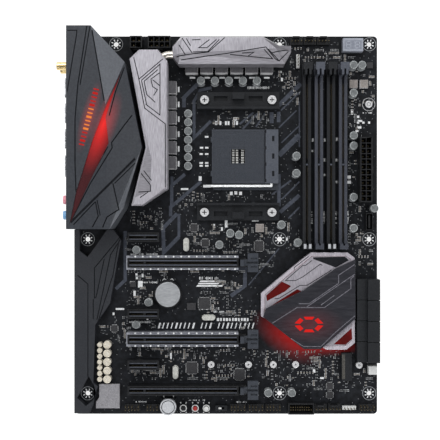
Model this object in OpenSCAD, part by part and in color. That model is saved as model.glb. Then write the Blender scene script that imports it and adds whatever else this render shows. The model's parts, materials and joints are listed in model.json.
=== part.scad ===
// ATX computer motherboard with armoured covers, heatsinks, slots, sockets and switches.
// Frame: the origin is the axis of the datum mounting hole at the board's underside. +X runs from the
// rear edge, where the outside sockets are, to the front edge. +Y runs from the expansion slots to the
// processor socket. +Z is the component side.

/* [Board] */
// Board size from the rear edge to the front edge
board_w = 243.84; // [240:0.01:330]
// Board size from the near edge to the far edge
board_d = 304.8; // [300:0.01:400]
// Thickness of the laminate
board_t = 1.6; // [1.2:0.1:2.6]
// Radius of the board's corners
board_corner_r = 3; // [1:0.5:6]
// Diameter of the mounting holes
mount_hole_d = 3.96; // [3:0.01:5]
// How far solder tails and the backplate reach below the board
tail_reach = 2.2; // [1.5:0.1:3.5]

/* [Processor socket] */
// Socket size across the sliding cover and the cam box
socket_w = 53.2; // [50:0.1:60]
// Socket size along the cam shaft, without the lever ledge
socket_d = 43.2; // [40:0.1:50]
// Height of the fixed socket base
socket_base_h = 3.2; // [2.5:0.1:5]
// Thickness of the sliding cover
socket_cover_h = 2.2; // [1.5:0.1:4]
// Side of the square field of contact holes
contact_field = 40; // [30:1:42]
// Diameter of the lever wire
lever_d = 2.0; // [1.5:0.1:2.5]
// Cooler screw spacing along X
cooler_hole_x = 54; // [50:0.5:66]
// Cooler screw spacing along Y
cooler_hole_y = 90; // [84:0.5:100]

/* [Memory slots] */
// Number of memory slots
memory_slots_n = 4; // [1:1:4]
// Pitch of the memory slots
memory_pitch = 9.65; // [8.5:0.05:12]
// Width of one memory slot
memory_w = 6.6; // [5.5:0.1:8]
// Height of one memory slot
memory_h = 8.5; // [6:0.5:14]
// Length of a memory module's edge
module_l = 133.35; // [110:0.01:135]

/* [Expansion slots] */
// Pitch of the expansion slots
slot_pitch = 20.32; // [20.32:0.01:24]
// Width of one expansion slot
slot_w = 7.5; // [6:0.1:8]
// Height of one expansion slot
slot_h = 11.2; // [9:0.1:14]
// Length of a long slot
slot_long = 88.2; // [80:0.1:100]
// Length of a short slot
slot_short = 25; // [20:0.1:30]
// Outer width of the metal shield round a long slot
shield_w = 11; // [9.5:0.1:13]

/* [Power sockets] */
// Pitch of the cells in a power socket
cell_pitch = 4.2; // [4:0.1:5]
// Height of a power socket
power_h = 12.8; // [10:0.1:16]

/* [Covers and heatsinks] */
// Height of the rear socket cover above the board
cover_h = 36; // [35:0.5:45]
// Wall of the rear socket cover
cover_wall = 1.5; // [1:0.1:3]
// Height of the audio cover
audio_cover_h = 6; // [4:0.5:10]
// Height of the power heatsinks above the board
sink_h = 30; // [24:0.5:36]
// Diameter of the heat pipe
pipe_d = 6; // [4:0.5:8]
// Height of the chipset heatsink
chip_sink_h = 8; // [6:0.5:14]
// Thickness of the plate on the chipset heatsink
chip_plate_t = 2.5; // [1:0.1:4]

/* [Small parts] */
// Side of a power choke
choke_side = 10; // [8:0.5:11]
// Height of a power choke
choke_h = 9; // [6:0.5:10]
// Diameter of a polymer capacitor
cap_d = 6.3; // [5:0.1:6.5]
// Height of a polymer capacitor
cap_h = 7.5; // [5:0.5:10]
// Diameter of the coin cell
cell_d = 20; // [16:0.5:20]
// Thickness of the coin cell
cell_t = 3.2; // [1.6:0.1:5]
// Diameter of the start button's cap
start_d = 13; // [10:0.5:14]
// Travel of the start button
start_travel = 0.5; // [0.2:0.1:1]
// Pin pitch of the headers
pin_pitch = 2.54; // [2:0.01:2.54]

/* [Hidden] */
$fn = 48;
gap = 0.15; // clearance between pieces that must not touch
skin = 0.3; // clearance between a moving piece and its neighbours
slide_gap = 0.05; // clearance under a sliding piece and round a pin that turns

// Edges and levels of the board
hole_to_rear = 10.16;
hole_to_near = 16.51;
hole_to_front = 6.35;
hole_to_far = 6.35;
rear_edge = -hole_to_rear;
near_edge = -hole_to_near;
front_edge = rear_edge + board_w;
far_edge = near_edge + board_d;
top = board_t;
function from_front(d) = front_edge - d;
function from_far(d) = far_edge - d;

// Mounting holes: three rows of three, the far rear one moved in
mid_x = 154.94;
mid_y = 124.46;
corner_shift = 22.86;
mount_x = front_edge - hole_to_front;
mount_y = far_edge - hole_to_far;
mount_holes = [[0, 0], [mid_x, 0], [mount_x, 0], [0, mid_y], [mid_x, mid_y], [mount_x, mid_y],
    [corner_shift, mount_y], [mid_x, mount_y], [mount_x, mount_y]];

// Processor socket
socket_c = [121.4, from_far(97.1)];
socket_x0 = socket_c[0] - contact_field / 2 - 1.1;
socket_x1 = socket_x0 + socket_w;
socket_y1 = socket_c[1] + contact_field / 2 + 1.3;
socket_y0 = socket_y1 - socket_d;
window_w = 11;
window_d = 11.5;
cam_box_w = 11;
cam_box_x = socket_x1 - cam_box_w;
cam_x = socket_x1 - cam_box_w / 2;
cam_z = top + socket_base_h + lever_d / 2 + 0.4;
lever_y = socket_y0 - lever_d / 2 - 1;
lever_reach = 52.5;
ledge_d = 5.2;
cooler_posts = [for (sx = [-1, 1], sy = [-1, 1])
    [socket_c[0] + sx * cooler_hole_x / 2, socket_c[1] + sy * cooler_hole_y / 2]];
post_r = 2.6;
post_hole_r = post_r + 0.2;
post_thread_r = 1.5;
bracket_screw_r = 1.45;
bracket_h = 4.2;
bracket_wall_h = 8.5;
bracket_l = 66;
bracket_d = 14;
bracket_inner = 7.5;

// Power stages, chokes and their heatsinks
phases = 6;
phase_pitch = choke_side + 2;
far_choke_x = [for (i = [0:phases - 1]) 84.1 + phase_pitch * i];
far_choke_y = from_far(26.2);
rear_choke_x = 67;
rear_choke_y = [for (i = [0:phases - 1]) from_far(42.6) - phase_pitch * i];
stage_side = 6;
stage_h = 1;
pad_t = 1;
sink_base = top + stage_h + pad_t;
sink_top = top + sink_h;
rear_stage_x = 51;
far_stage_y = from_far(14);
overhang_z = top + choke_h + 1.2;
pipe_z = top + 17;
pipe_r = pipe_d / 2;
rear_sink_screws = [[54, from_far(31)], [50, from_far(125)]];
far_sink_screws = [[77.4, from_far(16.5)], [150.5, from_far(16.5)]];
sink_thread_r = 1.3;
sink_screw_r = 1.25;
sink_screw_head_r = 2.6;
sink_screw_head_h = 1.6;
boss_r = 2.6;

// Memory slots: the last one stands a fixed way in from the front edge
memory_x = [for (i = [0:memory_slots_n - 1]) from_front(28.7) - memory_pitch * (3 - i)];
memory_y0 = from_far(171.1);
memory_end = 4.6;
memory_y1 = memory_y0 + memory_end + module_l + 1;
memory_key = memory_y0 + 66.4;
memory_gap = 1.5;
latch_w = memory_w + 0.6;
latch_l = 8.6;
latch_h = 19;
latch_pivot_z = top + 4;
latch_pivot_y = memory_y1 + 3.2;
latch_pin_r = 0.8;
tower_h = 7;

// Expansion slots, counted from the far one
slot_x0 = 33.4;
slot_y = [for (i = [0:6]) 126.32 - slot_pitch * i];
long_slots = [1, 4, 6];
shielded_slots = [1, 4];
short_slots = [0, 3, 5];
slot_gap = 1.7;
slot_key = 11.5;
slot_depth = 7.5;
x16_latch_l = 14.5;
x16_latch_w = 15;
x16_pivot_x = slot_x0 + slot_long + 3.2;
x16_pivot_z = top + 7;
shield_wall = 0.8;

// Rear sockets
rear_out = 2.4;
rear_face = rear_edge - rear_out;
usb_tower_y = [from_far(46.8), from_far(66.3), from_far(85.8)];
usb_w = 15;
usb_l = 17.8;
usb_port_h = 7.7;
usb_mouth_w = 12.6;
usb_mouth_h = 5.1;
network_y = from_far(106.8);
network_w = 16.4;
network_l = 22;
network_h = 30.5;
rj_w = 12;
rj_h = 9;
jack_pitch = 11.8;
jack_y = [from_far(132.8), from_far(132.8) - jack_pitch];
jack_rise = 10.8;
jack_z = [for (i = [0:2]) top + (i + 0.5) * jack_rise];
jack_out = 3.9;
jack_bore_r = 1.8;
jack_ring_r = 3.4;
jack_depth = 14;
jack_module_d = 14;
jack_seam = 0.1;
antenna_y = from_far(28.8);
antenna_z = [top + 10, top + 24];
antenna_r = 3.175;
antenna_l = 9.6;
antenna_plate_x = rear_edge;
rear_button_y = from_far(12.5);
rear_button_z = [top + 7, top + 18];
rear_button_r = 2.1;
rear_button_travel = 0.8;

// Rear socket cover: corners of its roof [x, y, height]
cover_near_y = from_far(155.3);
cover_rear = rear_edge - 0.3;
cover_roof = [
    [cover_rear, far_edge, cover_h], [8.3, far_edge, cover_h], [33.2, from_far(26.4), cover_h - 8],
    [46.2, from_far(91.6), cover_h - 10], [32, from_far(139.2), cover_h - 10],
    [22, cover_near_y, cover_h - 5], [0, cover_near_y, cover_h], [cover_rear, cover_near_y, cover_h],
    [19.5, from_far(60.3), cover_h]];
blade = [[33, from_far(27.5)], [20.2, from_far(60.3)], [9.7, from_far(87.2)], [-2.8, from_far(126.3)],
    [-8, from_far(152)], [21.7, from_far(89.6)], [19.6, from_far(70.2)]];
blade_sink = 0.8;
blade_t = 1.2;

// Audio cover and its parts
audio_top_y = cover_near_y - 0.6;
audio_outline = [[rear_edge + 0.4, near_edge + 1.8], [rear_edge + 0.4, audio_top_y], [21.5, audio_top_y],
    [27.7, mid_y - 0.5], [23.8, 101.9], [18.8, 73.3], [7, 56.2], [5.4, 9.8], [9, 6.9], [6, -2], [5.6, -7],
    [2.4, near_edge + 1.8]];
audio_windows = [
    [[-5.6, audio_top_y + 1], [17.2, audio_top_y + 1], [5.1, mid_y - 8.5], [0.8, mid_y - 14],
        [-5.6, mid_y - 9]],
    [[1.7, 15.2], [5.2, 8.7], [7.4, 2.3], [5.2, -4.4], [-0.4, -8.9], [-7.6, -2.5]]];
shield_outline = [[9.6, 8], [26.1, 8], [26.1, -11.4], [7, -11.4], [7, -6.4], [9.6, -2.8]];
shield_h = 3;

// Chipset heatsink
sink_outline = [[from_front(94.2), 63.1], [from_front(94.2), 81.4], [from_front(79), 94.3],
    [from_front(54.5), 114.2], [from_front(25.1), 114.2], [from_front(19.4), 109.8],
    [from_front(19.1), 41.9], [from_front(26), 36.5], [from_front(41.5), 36.5]];
plate_outline = [[from_front(92.6), 63], [from_front(90.4), 69.5], [from_front(60.3), 84.3],
    [from_front(34.4), 101.8], [from_front(19.4), 108.6], [from_front(19.1), 61.6],
    [from_front(46.6), 37.4], [from_front(60.3), 37.4]];
chipset_c = [from_front(56), 73];
chipset_side = 24;
chipset_h = 2.4;
guide_t = 1.5;

// Storage sockets
sata_n = 4;
sata_pitch = 16.6;
sata_w = 16.2;
sata_x0 = from_front(17.9);
sata_x1 = from_front(0.3);
sata_step_x = from_front(10);
sata_y0 = 26.9;
sata_h = 14;
sata_step_h = 10.5;
m2_x = from_front(29.2);
m2_y = 22.2;
m2_w = 8.4;
m2_d = 22.4;
m2_h = 4.2;
m2_edge_x = from_front(24);
m2_lengths = [110, 80, 60, 42];
m2_post_r = 2.7;
m2_post_h = 3;
m2_thread_r = 0.9;
spare_post = [from_front(14.8), 23.2];

// Coin cell
cell_c = [64.9, 80.2];
cell_floor = 1.2;
holder_wall = 0.9;
holder_h = 3.4;

// Small parts, [x, y]
button_y = near_edge + 5.3;
start_c = [65.4, near_edge + 7.4];
start_cap_h = 4;
start_housing_h = 4.4;
start_housing_side = 12;
small_button_x = [77.3, 86.9, 95.8];
small_side = 6;
small_h = 3.5;
small_r = 1.75;
small_out = 1.5;
small_travel = 0.3;
knob_x = 107.8;
knob_travel = 2;
knob_body = [9.4, 4.4, 3.4];
knob_slot = [5.2, 1.7];
knob = [2.4, 1.3, 3.2];
header_y = near_edge + 6;
header_base_h = 2.5;
pin_side = 0.64;
pin_up = 8.5;
double_headers = [[36.4, 5], [52.6, 4], [121.2, 5], [135.6, 5], [149.6, 5], [from_front(9), 5]];
edge_fan_x = [from_front(46), from_front(34.9)];
far_fan_x = [from_front(65.5), from_front(54.6), from_front(43.8)];
far_fan_y = from_far(4.6);
fan_w = 10.1;
fan_d = 5.8;
fan_base_h = 3.2;
fan_tab_h = 9;
usb3_x = 171.5;
usb3_size = [20.6, 9, 9];
front_usb = [from_front(7.6), 138.6];
front_usb_size = [5.6, 13.4, 8];
light_header = [from_far(20.5), from_front(64.2)];
edge_light_x = from_front(23);
white_socket = [from_front(4.6), 19.6];
white_socket_side = 6.8;
display_c = [from_front(20.5), from_far(8.2)];
display_size = [16.2, 10.6, 7];
far_caps = [for (i = [0:4]) [91.5 + 11.2 * i, from_far(36.9)]];
rear_caps = [for (i = [0:6]) [81.3, from_far(63.2 + 6.98 * i)]];
lone_caps = [[168, from_far(96.9)], [168, from_far(110.8)], [from_front(20), from_far(24.3)],
    [from_front(13.2), from_far(24.3)], [from_front(20), from_far(46.6)], [from_front(20), from_far(80.7)],
    [from_front(20), from_far(88.8)], [from_front(20), from_far(129.9)], [from_front(20), 133.6],
    [from_front(3.3), 149.3], [39.9, 116.2], [49.6, 74.2], [39.7, 56.4], [145.4, 1.8], [164.2, 1.8],
    [115, 129.5], [122.1, 128.3], [106.3, 120.4], [156, 136.4], [169.2, 122.1]];
audio_cap_x = [10.4, 16.4];
audio_cap_d = [4, 6.3];
audio_cap_n = [7, 5];
audio_cap_pitch = [4.6, 6.9];
audio_cap_y = 40;
audio_cap_h = 6;
small_chokes = [[from_front(19.5), from_far(38.9)], [from_front(11.1), from_far(38.9)], [138.8, 133.6]];
small_choke = [6.6, 6.6, 3.5];
chips = [[84.1, 20.6, 9, 9, 1], [122.6, 15.4, 8.6, 8.6, 1], [195.5, 6, 5, 5.4, 1], [195.5, -1.2, 5, 5.4, 1],
    [94.2, 72.7, 9.4, 9, 1], [83.7, 70.3, 7, 5.6, 1.8], [94.9, 121.5, 6, 6, 1], [85.8, 133.7, 6, 6, 1],
    [138.3, 119, 7, 8, 1], [from_front(6), from_far(23.5), 4.8, 4.8, 1.2], [36.6, 88, 4.5, 4, 1.2],
    [21.5, 52.5, 5.3, 5.3, 1.4]];
audio_chip = [17, -2, 7, 7, 1.2];
can_list = [[79.5, 120.1, 90], [97.6, 61.3, 0], [70.9, 17.3, 90]];
can_l = 11;
can_w = 4.7;
can_h = 3.5;

// ---------- helpers ----------
module at(p, z = 0) translate([p[0], p[1], z]) children();

// A box centred on p in plan, standing on level z
module box_on(p, size, z = top) translate([p[0] - size[0] / 2, p[1] - size[1] / 2, z]) cube(size);

// The convex solid round a list of points
module solid_round(points) hull() polyhedron(points, [[for (i = [0:len(points) - 1]) i]]);

// Roof corners and their feet on the board, the roof lowered by drop and the sides drawn in by inset
function roof_points(corners, drop = 0, inset = 0) = concat(
    [for (p = corners) [cover_in(p[0], cover_mid[0], cover_half[0], inset),
        cover_in(p[1], cover_mid[1], cover_half[1], inset), top + p[2] - drop]],
    [for (p = corners) [cover_in(p[0], cover_mid[0], cover_half[0], inset),
        cover_in(p[1], cover_mid[1], cover_half[1], inset), top]]);
function cover_in(v, middle, half, inset) = middle + (v - middle) * (1 - inset / half);

module rounded_sheet(x0, y0, w, d, r) {
    translate([x0 + r, y0]) square([w - 2 * r, d]);
    translate([x0, y0 + r]) square([w, d - 2 * r]);
    for (x = [x0 + r, x0 + w - r], y = [y0 + r, y0 + d - r]) translate([x, y]) circle(r);
}

module oval(l, w, h) {
    translate([-(l - w) / 2, -w / 2, 0]) cube([l - w, w, h]);
    for (s = [-1, 1]) translate([s * (l - w) / 2, 0, 0]) cylinder(h = h, d = w);
}

// ---------- board ----------
module circuit_board() color([0.06, 0.065, 0.075]) linear_extrude(board_t) difference() {
    rounded_sheet(rear_edge, near_edge, board_w, board_d, board_corner_r);
    for (p = mount_holes) translate(p) circle(d = mount_hole_d);
    for (p = cooler_posts) translate(p) circle(post_hole_r);
    for (p = concat(rear_sink_screws, far_sink_screws)) translate(p) circle(sink_screw_r + 0.25);
}

module tail_bar(x0, y0, w, d) translate([x0, y0, -tail_reach]) cube([w, d, tail_reach]);

module solder_tails() color([0.75, 0.76, 0.78]) {
    for (x = memory_x, s = [-1, 1]) tail_bar(x + s * 1.9 - 0.5, memory_y0 + 6, 1, module_l - 8);
    for (i = concat(long_slots, short_slots), s = [-1, 1])
        tail_bar(slot_x0 + 3, slot_y[i] + s * 2 - 0.5,
            (len(search(i, long_slots)) > 0 ? slot_long : slot_short) - 6, 1);
    for (s = [-1, 1]) tail_bar(power_x + s * cell_pitch / 2 - 0.6, power_y0 + 3, 1.2, 12 * cell_pitch - 5);
    for (s = [-1, 1]) {
        tail_bar(eps_x[0] - 3, eps_y + s * cell_pitch / 2 - 0.6, 6, 1.2);
        tail_bar(eps_x[1] - 7, eps_y + s * cell_pitch / 2 - 0.6, 14, 1.2);
    }
    for (y = usb_tower_y) tail_bar(rear_edge + 10, y - 5.5, 4, 11);
    tail_bar(rear_edge + 12, network_y - 6, 5, 12);
    for (y = jack_y) tail_bar(rear_edge + 2, y - 4, 8, 8);
    tail_bar(front_edge - 15, sata_y0 + 3, 2, sata_n * sata_pitch - 6);
    for (h = double_headers, s = [-1, 1])
        tail_bar(h[0] - h[1] * pin_pitch / 2 + 0.8, header_y + s * pin_pitch / 2 - 0.4,
            h[1] * pin_pitch - 1.6, 0.8);
}

// ---------- processor socket ----------
module socket_backplate() color([0.2, 0.2, 0.22]) difference() {
    union() {
        difference() {
            translate([0, 0, -tail_reach]) linear_extrude(tail_reach)
                rounded_sheet(socket_c[0] - cooler_hole_x / 2 - 6, socket_c[1] - cooler_hole_y / 2 - 6,
                    cooler_hole_x + 12, cooler_hole_y + 12, 5);
            box_on(socket_c, [30, 34, tail_reach + 2], -tail_reach - 1);
        }
        for (p = cooler_posts) at(p) cylinder(h = board_t + 0.6, r = post_r);
    }
    for (p = cooler_posts) at(p, -tail_reach - 1) cylinder(h = board_t + tail_reach + 3, r = post_thread_r);
}

// One cooler bracket, its wall facing the socket; side is 1 for the far one and -1 for the near one
module bracket(side) {
    y_row = socket_c[1] + side * cooler_hole_y / 2;
    y_in = y_row - side * bracket_inner;
    y_lo = min(y_in, y_in + side * bracket_d);
    wall_lo = side > 0 ? y_lo : y_lo + bracket_d - 1.8;
    x_lo = socket_c[0] - bracket_l / 2;
    difference() {
        union() {
            translate([x_lo, y_lo, top]) cube([bracket_l, bracket_d, bracket_h]);
            translate([x_lo, wall_lo, top]) cube([bracket_l, 1.8, bracket_wall_h]);
            box_on([socket_c[0], y_row + side * 2.6], [9.4, 5, bracket_wall_h + 2]);
            for (s = [-1, 1]) at([socket_c[0] + s * 12, wall_lo + 0.9], top) cylinder(h = bracket_wall_h, r = 1.6);
        }
        for (s = [-1, 1]) {
            at([socket_c[0] + s * cooler_hole_x / 2, y_row], top - 1) cylinder(h = 1.7, r = post_r + gap);
            at([socket_c[0] + s * cooler_hole_x / 2, y_row], top - 1) cylinder(h = 20, r = bracket_screw_r + 0.25);
            at([socket_c[0] + s * cooler_hole_x / 2, y_row], top + bracket_h) cylinder(h = 10, r = 3.9);
            // long relief between the screw and the centre lug
            box_on([socket_c[0] + s * 14, y_row + side * 1.2], [11, 4, 10], top + 1.6);
        }
    }
}

module cooler_brackets() color([0.03, 0.03, 0.035]) for (side = [-1, 1]) bracket(side);

module screws() color([0.82, 0.83, 0.85]) {
    for (p = cooler_posts) at(p) {
        difference() {
            translate([0, 0, top + bracket_h]) cylinder(h = 2.2, r = 3.5);
            for (a = [0, 90]) rotate(a) translate([-1.9, -0.4, top + bracket_h + 1.1]) cube([3.8, 0.8, 2]);
        }
        translate([0, 0, -tail_reach + 0.6]) cylinder(h = top + bracket_h + tail_reach - 0.6, r = bracket_screw_r);
    }
    for (p = concat(rear_sink_screws, far_sink_screws)) at(p) {
        translate([0, 0, -sink_screw_head_h]) cylinder(h = sink_screw_head_h, r = sink_screw_head_r);
        cylinder(h = sink_base + 3, r = sink_screw_r);
    }
}

module socket_base() color([0.1, 0.105, 0.12]) difference() {
    union() {
        translate([socket_x0, socket_y0, top]) cube([socket_w, socket_d, socket_base_h]);
        translate([socket_x0 + 1, socket_y0 - ledge_d, top]) cube([socket_w - 1, ledge_d + 1, 1.6]);
        // cam box over the shaft
        translate([cam_box_x, socket_y0, top])
            cube([cam_box_w, socket_d, socket_base_h + socket_cover_h + 0.6]);
        // catch for the lever's arm
        translate([socket_x0 + 3, socket_y0 - ledge_d, top]) cube([4, 1, 3.4]);
    }
    box_on(socket_c, [window_w, window_d, 10], top - 1);
    translate([cam_x, socket_y0 - 1, cam_z]) rotate([-90, 0, 0]) cylinder(h = socket_d - 3, r = lever_d / 2 + slide_gap);
    for (i = [-1, 0, 1]) box_on([cam_x + 1.4, socket_c[1] + i * 14], [1.4, 3.6, 3], cam_z + lever_d / 2 + 0.2);
}

module socket_cover() color([0.16, 0.165, 0.18]) difference() {
    union() {
        translate([socket_x0, socket_y0, top + socket_base_h + slide_gap])
            cube([socket_w - cam_box_w - skin, socket_d, socket_cover_h - slide_gap]);
        for (y = [socket_y0 + 6, socket_y1 - 10]) // guide lips beside the base
            translate([socket_x0 - 1, y, top + 0.6]) cube([1 - gap, 4, socket_base_h + socket_cover_h - 0.6]);
        for (y = [socket_y0 + 6, socket_y1 - 10])
            translate([socket_x0 - 1, y, top + socket_base_h + slide_gap]) cube([2, 4, socket_cover_h - slide_gap]);
    }
    box_on(socket_c, [window_w, window_d, 10], top);
    // sunk field of the contact holes
    difference() {
        box_on(socket_c, [contact_field, contact_field, 1], top + socket_base_h + socket_cover_h - 0.35);
        box_on(socket_c, [window_w + 2, window_d + 2, 3], top + socket_base_h);
    }
}

module socket_lever() color([0.85, 0.86, 0.88]) {
    translate([cam_x, lever_y, cam_z]) {
        rotate([-90, 0, 0]) cylinder(h = socket_d - 4, d = lever_d);
        sphere(d = lever_d);
        rotate([0, -90, 0]) cylinder(h = lever_reach, d = lever_d);
        translate([-lever_reach, 0, 0]) sphere(d = lever_d);
        // flattened finger tab
        translate([-lever_reach - 2.2, -1.2, -lever_d / 2]) cube([6, 2, lever_d]);
    }
}

// ---------- memory slots ----------
module memory_slot(i) difference() {
    union() {
        translate([memory_x[i] - memory_w / 2, memory_y0, top]) cube([memory_w, memory_y1 - memory_y0, memory_h]);
        // fixed end block with its finger guide
        translate([memory_x[i] - memory_w / 2, memory_y0 - 0.4, top]) cube([memory_w, memory_end, 14]);
        // fork that carries the latch
        for (s = [-1, 1])
            translate([memory_x[i] + s * (latch_w / 2 - 0.45) - 0.45, memory_y1, top]) cube([0.9, latch_l, tower_h]);
        translate([memory_x[i] - latch_w / 2, memory_y1, top]) cube([latch_w, latch_l, 1]);
    }
    difference() {
        translate([memory_x[i] - memory_gap / 2, memory_y0 + memory_end - 2, top + 2])
            cube([memory_gap, module_l + 5, 20]);
        translate([memory_x[i] - memory_gap, memory_key, top]) cube([2 * memory_gap, 1.2, memory_h]);
    }
    // tapers at the mouth, as two sunk shoulders
    translate([memory_x[i] - memory_gap / 2 - 0.5, memory_y0 + memory_end + 1, top + memory_h - 0.6])
        cube([memory_gap + 1, module_l - 2, 2]);
    translate([memory_x[i] - latch_w, latch_pivot_y, latch_pivot_z]) rotate([0, 90, 0])
        cylinder(h = 2 * latch_w, r = latch_pin_r + slide_gap);
}

module memory_slots() color([0.09, 0.095, 0.105]) for (i = [0:memory_slots_n - 1]) memory_slot(i);

module memory_latch(i) if (i < memory_slots_n) color(i % 2 ? [0.35, 0.37, 0.4] : [0.1, 0.1, 0.1]) {
    w = latch_w - 1.8 - 2 * gap;
    neck_top = latch_h - (latch_pivot_z - top);
    difference() {
        union() {
            translate([memory_x[i] - w / 2, latch_pivot_y - 2, latch_pivot_z - 2]) cube([w, 4, neck_top + 2]);
            // tall fork over the slot's end
            translate([memory_x[i] - w / 2, latch_pivot_y - 5.2, top + memory_h + skin])
                cube([w, 8, latch_h - memory_h - skin]);
            // finger rest at the top
            translate([memory_x[i] - latch_w / 2, latch_pivot_y - 1.4, top + latch_h - 3]) cube([latch_w, 6, 3]);
        }
        // groove that grips the module's edge
        translate([memory_x[i] - memory_gap / 2, latch_pivot_y - 6, top + memory_h])
            cube([memory_gap, 5.4, latch_h]);
    }
    translate([memory_x[i] - latch_w / 2 + 0.1, latch_pivot_y, latch_pivot_z]) rotate([0, 90, 0])
        cylinder(h = latch_w - 0.2, r = latch_pin_r);
}

// ---------- expansion slots ----------
module slot_body(l, y) difference() {
    translate([slot_x0, y - slot_w / 2, top]) cube([l, slot_w, slot_h]);
    difference() {
        translate([slot_x0 + 1.2, y - slot_gap / 2, top + slot_h - slot_depth]) cube([l - 2.4, slot_gap, 20]);
        translate([slot_x0 + 1.2 + slot_key, y - slot_gap, top]) cube([1.7, 2 * slot_gap, 30]);
    }
    for (s = [-1, 1]) // stepped lips beside the mouth
        translate([slot_x0 + 2, y + s * 2.6 - 0.35, top + slot_h - 0.8]) cube([l - 4, 0.7, 2]);
}

module expansion_slots() color([0.06, 0.06, 0.065]) {
    for (i = short_slots) slot_body(slot_short, slot_y[i]);
    for (i = long_slots) difference() {
        union() {
            slot_body(slot_long, slot_y[i]);
            // cheeks that carry the card latch
            for (s = [-1, 1])
                translate([slot_x0 + slot_long, slot_y[i] + s * (slot_w / 2 - 0.5) - 0.5, top]) cube([6, 1, 9]);
            translate([slot_x0 + slot_long, slot_y[i] - slot_w / 2, top]) cube([6, slot_w, 1]);
        }
        translate([x16_pivot_x, slot_y[i] - 10, x16_pivot_z]) rotate([-90, 0, 0])
            cylinder(h = 20, r = latch_pin_r + slide_gap);
    }
}

module slot_shields() color([0.62, 0.64, 0.68]) for (i = shielded_slots) difference() {
    translate([slot_x0 - shield_wall - gap, slot_y[i] - shield_w / 2, top])
        cube([slot_long + shield_wall, shield_w, slot_h - 0.6]);
    translate([slot_x0 - gap, slot_y[i] - slot_w / 2 - gap, top - 1])
        cube([slot_long + 5, slot_w + 2 * gap, slot_h + 2]);
    for (s = [-1, 1]) // sunk track between the rim and the slot
        translate([slot_x0 + 1.5, slot_y[i] + s * (slot_w / 2 + 0.95) - 0.45, top + slot_h - 2])
            cube([slot_long - 4, 0.9, 4]);
}

module x16_latch(k) color([0.14, 0.145, 0.17]) {
    y = slot_y[long_slots[k]];
    inner_w = slot_w - 2 - 2 * gap;
    difference() {
        union() {
            translate([x16_pivot_x - 2, y - inner_w / 2, x16_pivot_z - 2]) cube([8, inner_w, 4]);
            translate([x16_pivot_x + 4, y - x16_latch_w / 2, x16_pivot_z - 0.5]) cube([x16_latch_l - 6, x16_latch_w, 3]);
            translate([x16_pivot_x - 2, y - inner_w / 2, x16_pivot_z]) cube([3, inner_w, 7]);
        }
        translate([x16_pivot_x + 3, y - slot_gap / 2, x16_pivot_z + 0.8]) cube([9, slot_gap, 9]);
        for (s = [-1, 1]) translate([x16_pivot_x + 6.5, y + s * 3.3 - 0.7, x16_pivot_z + 1.6]) cube([5, 1.4, 3]);
    }
    translate([x16_pivot_x, y - slot_w / 2 + 0.1, x16_pivot_z]) rotate([-90, 0, 0]) cylinder(h = slot_w - 0.2, r = latch_pin_r);
}

// ---------- power sockets ----------
power_x = from_front(11);
power_y0 = from_far(134.1);
eps_x = [40.2, 58.6];
eps_y = from_far(7.2);

// A socket of columns x 2 cells; the columns run along X
module power_socket(columns) {
    w = columns * cell_pitch + 1.2;
    d = 2 * cell_pitch + 1.2;
    difference() {
        translate([-w / 2, -d / 2, top]) cube([w, d, power_h]);
        for (c = [0:columns - 1], r = [0, 1])
            translate([(c - (columns - 1) / 2) * cell_pitch, (r - 0.5) * cell_pitch, top + 2])
                box_on([0, 0], [cell_pitch - 0.7, cell_pitch - 0.7, power_h], 0);
    }
    box_on([0, -d / 2 - 0.6], [min(w, 6), 1.2, power_h - 3]);
}

module main_power_socket() color([0.05, 0.05, 0.055])
    translate([power_x, power_y0 + 6 * cell_pitch + 0.6, 0]) rotate(90) power_socket(12);

module cpu_power_sockets() color([0.05, 0.05, 0.055]) {
    translate([eps_x[0], eps_y, 0]) power_socket(2);
    translate([eps_x[1], eps_y, 0]) power_socket(4);
}

module socket_pins(columns) for (c = [0:columns - 1], r = [0, 1])
    box_on([(c - (columns - 1) / 2) * cell_pitch, (r - 0.5) * cell_pitch], [1.1, 1.1, 7], top + 2);

// ---------- heatsinks ----------
module pipe_route(r) {
    bend = 9;
    a = [58, from_far(60), pipe_z];
    corner_y = from_far(18.5);
    translate([a[0], a[1], pipe_z]) rotate([-90, 0, 0]) cylinder(h = corner_y - bend - a[1], r = r);
    translate([a[0] + bend, corner_y - bend, pipe_z]) rotate(90) rotate_extrude(angle = 90) translate([bend, 0]) circle(r);
    translate([a[0] + bend, corner_y, pipe_z]) rotate([0, 90, 0]) cylinder(h = 80, r = r);
}

module heat_pipe() color([0.8, 0.79, 0.76]) pipe_route(pipe_r);

rear_sink_plan = [[37, from_far(23.9)], [44.3, from_far(16.8)], [58.8, from_far(16.8)],
    [66.1, from_far(25.7)], [66.1, from_far(123.8)], [46.1, from_far(137.1)], [38.5, from_far(137.1)],
    [49.6, from_far(92)]];

module rear_heatsink() color([0.56, 0.56, 0.6]) difference() {
    union() {
        // overhanging head, its rear flank leaning in under the cover's edge
        translate([0, 0, overhang_z]) linear_extrude(sink_top - 2 - overhang_z) polygon(rear_sink_plan);
        translate([0, 0, sink_top - 2]) linear_extrude(2) polygon([for (p = rear_sink_plan)
            [p[0] + (p[0] < 50 ? 1.6 : -0.8), p[1] + (p[1] > from_far(90) ? -0.8 : 0.8)]]);
        // foot on the thermal pads
        translate([47.4, from_far(122), sink_base]) cube([12.2, 87, overhang_z - sink_base]);
        for (p = rear_sink_screws) at(p, top) cylinder(h = overhang_z - top + 1, r = boss_r);
    }
    pipe_route(pipe_r + 0.05);
    for (p = rear_sink_screws) at(p, top - 1) cylinder(h = sink_base + 4 - top, r = sink_thread_r);
}

far_sink_plan = [[76.3, from_far(6.2)], [141, from_far(6.2)], [147.6, from_far(12.6)], [162, from_far(13)],
    [162, from_far(17.8)], [157, from_far(27.1)], [74.5, from_far(27.1)], [70, from_far(21.2)],
    [70, from_far(13.6)]];

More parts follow.
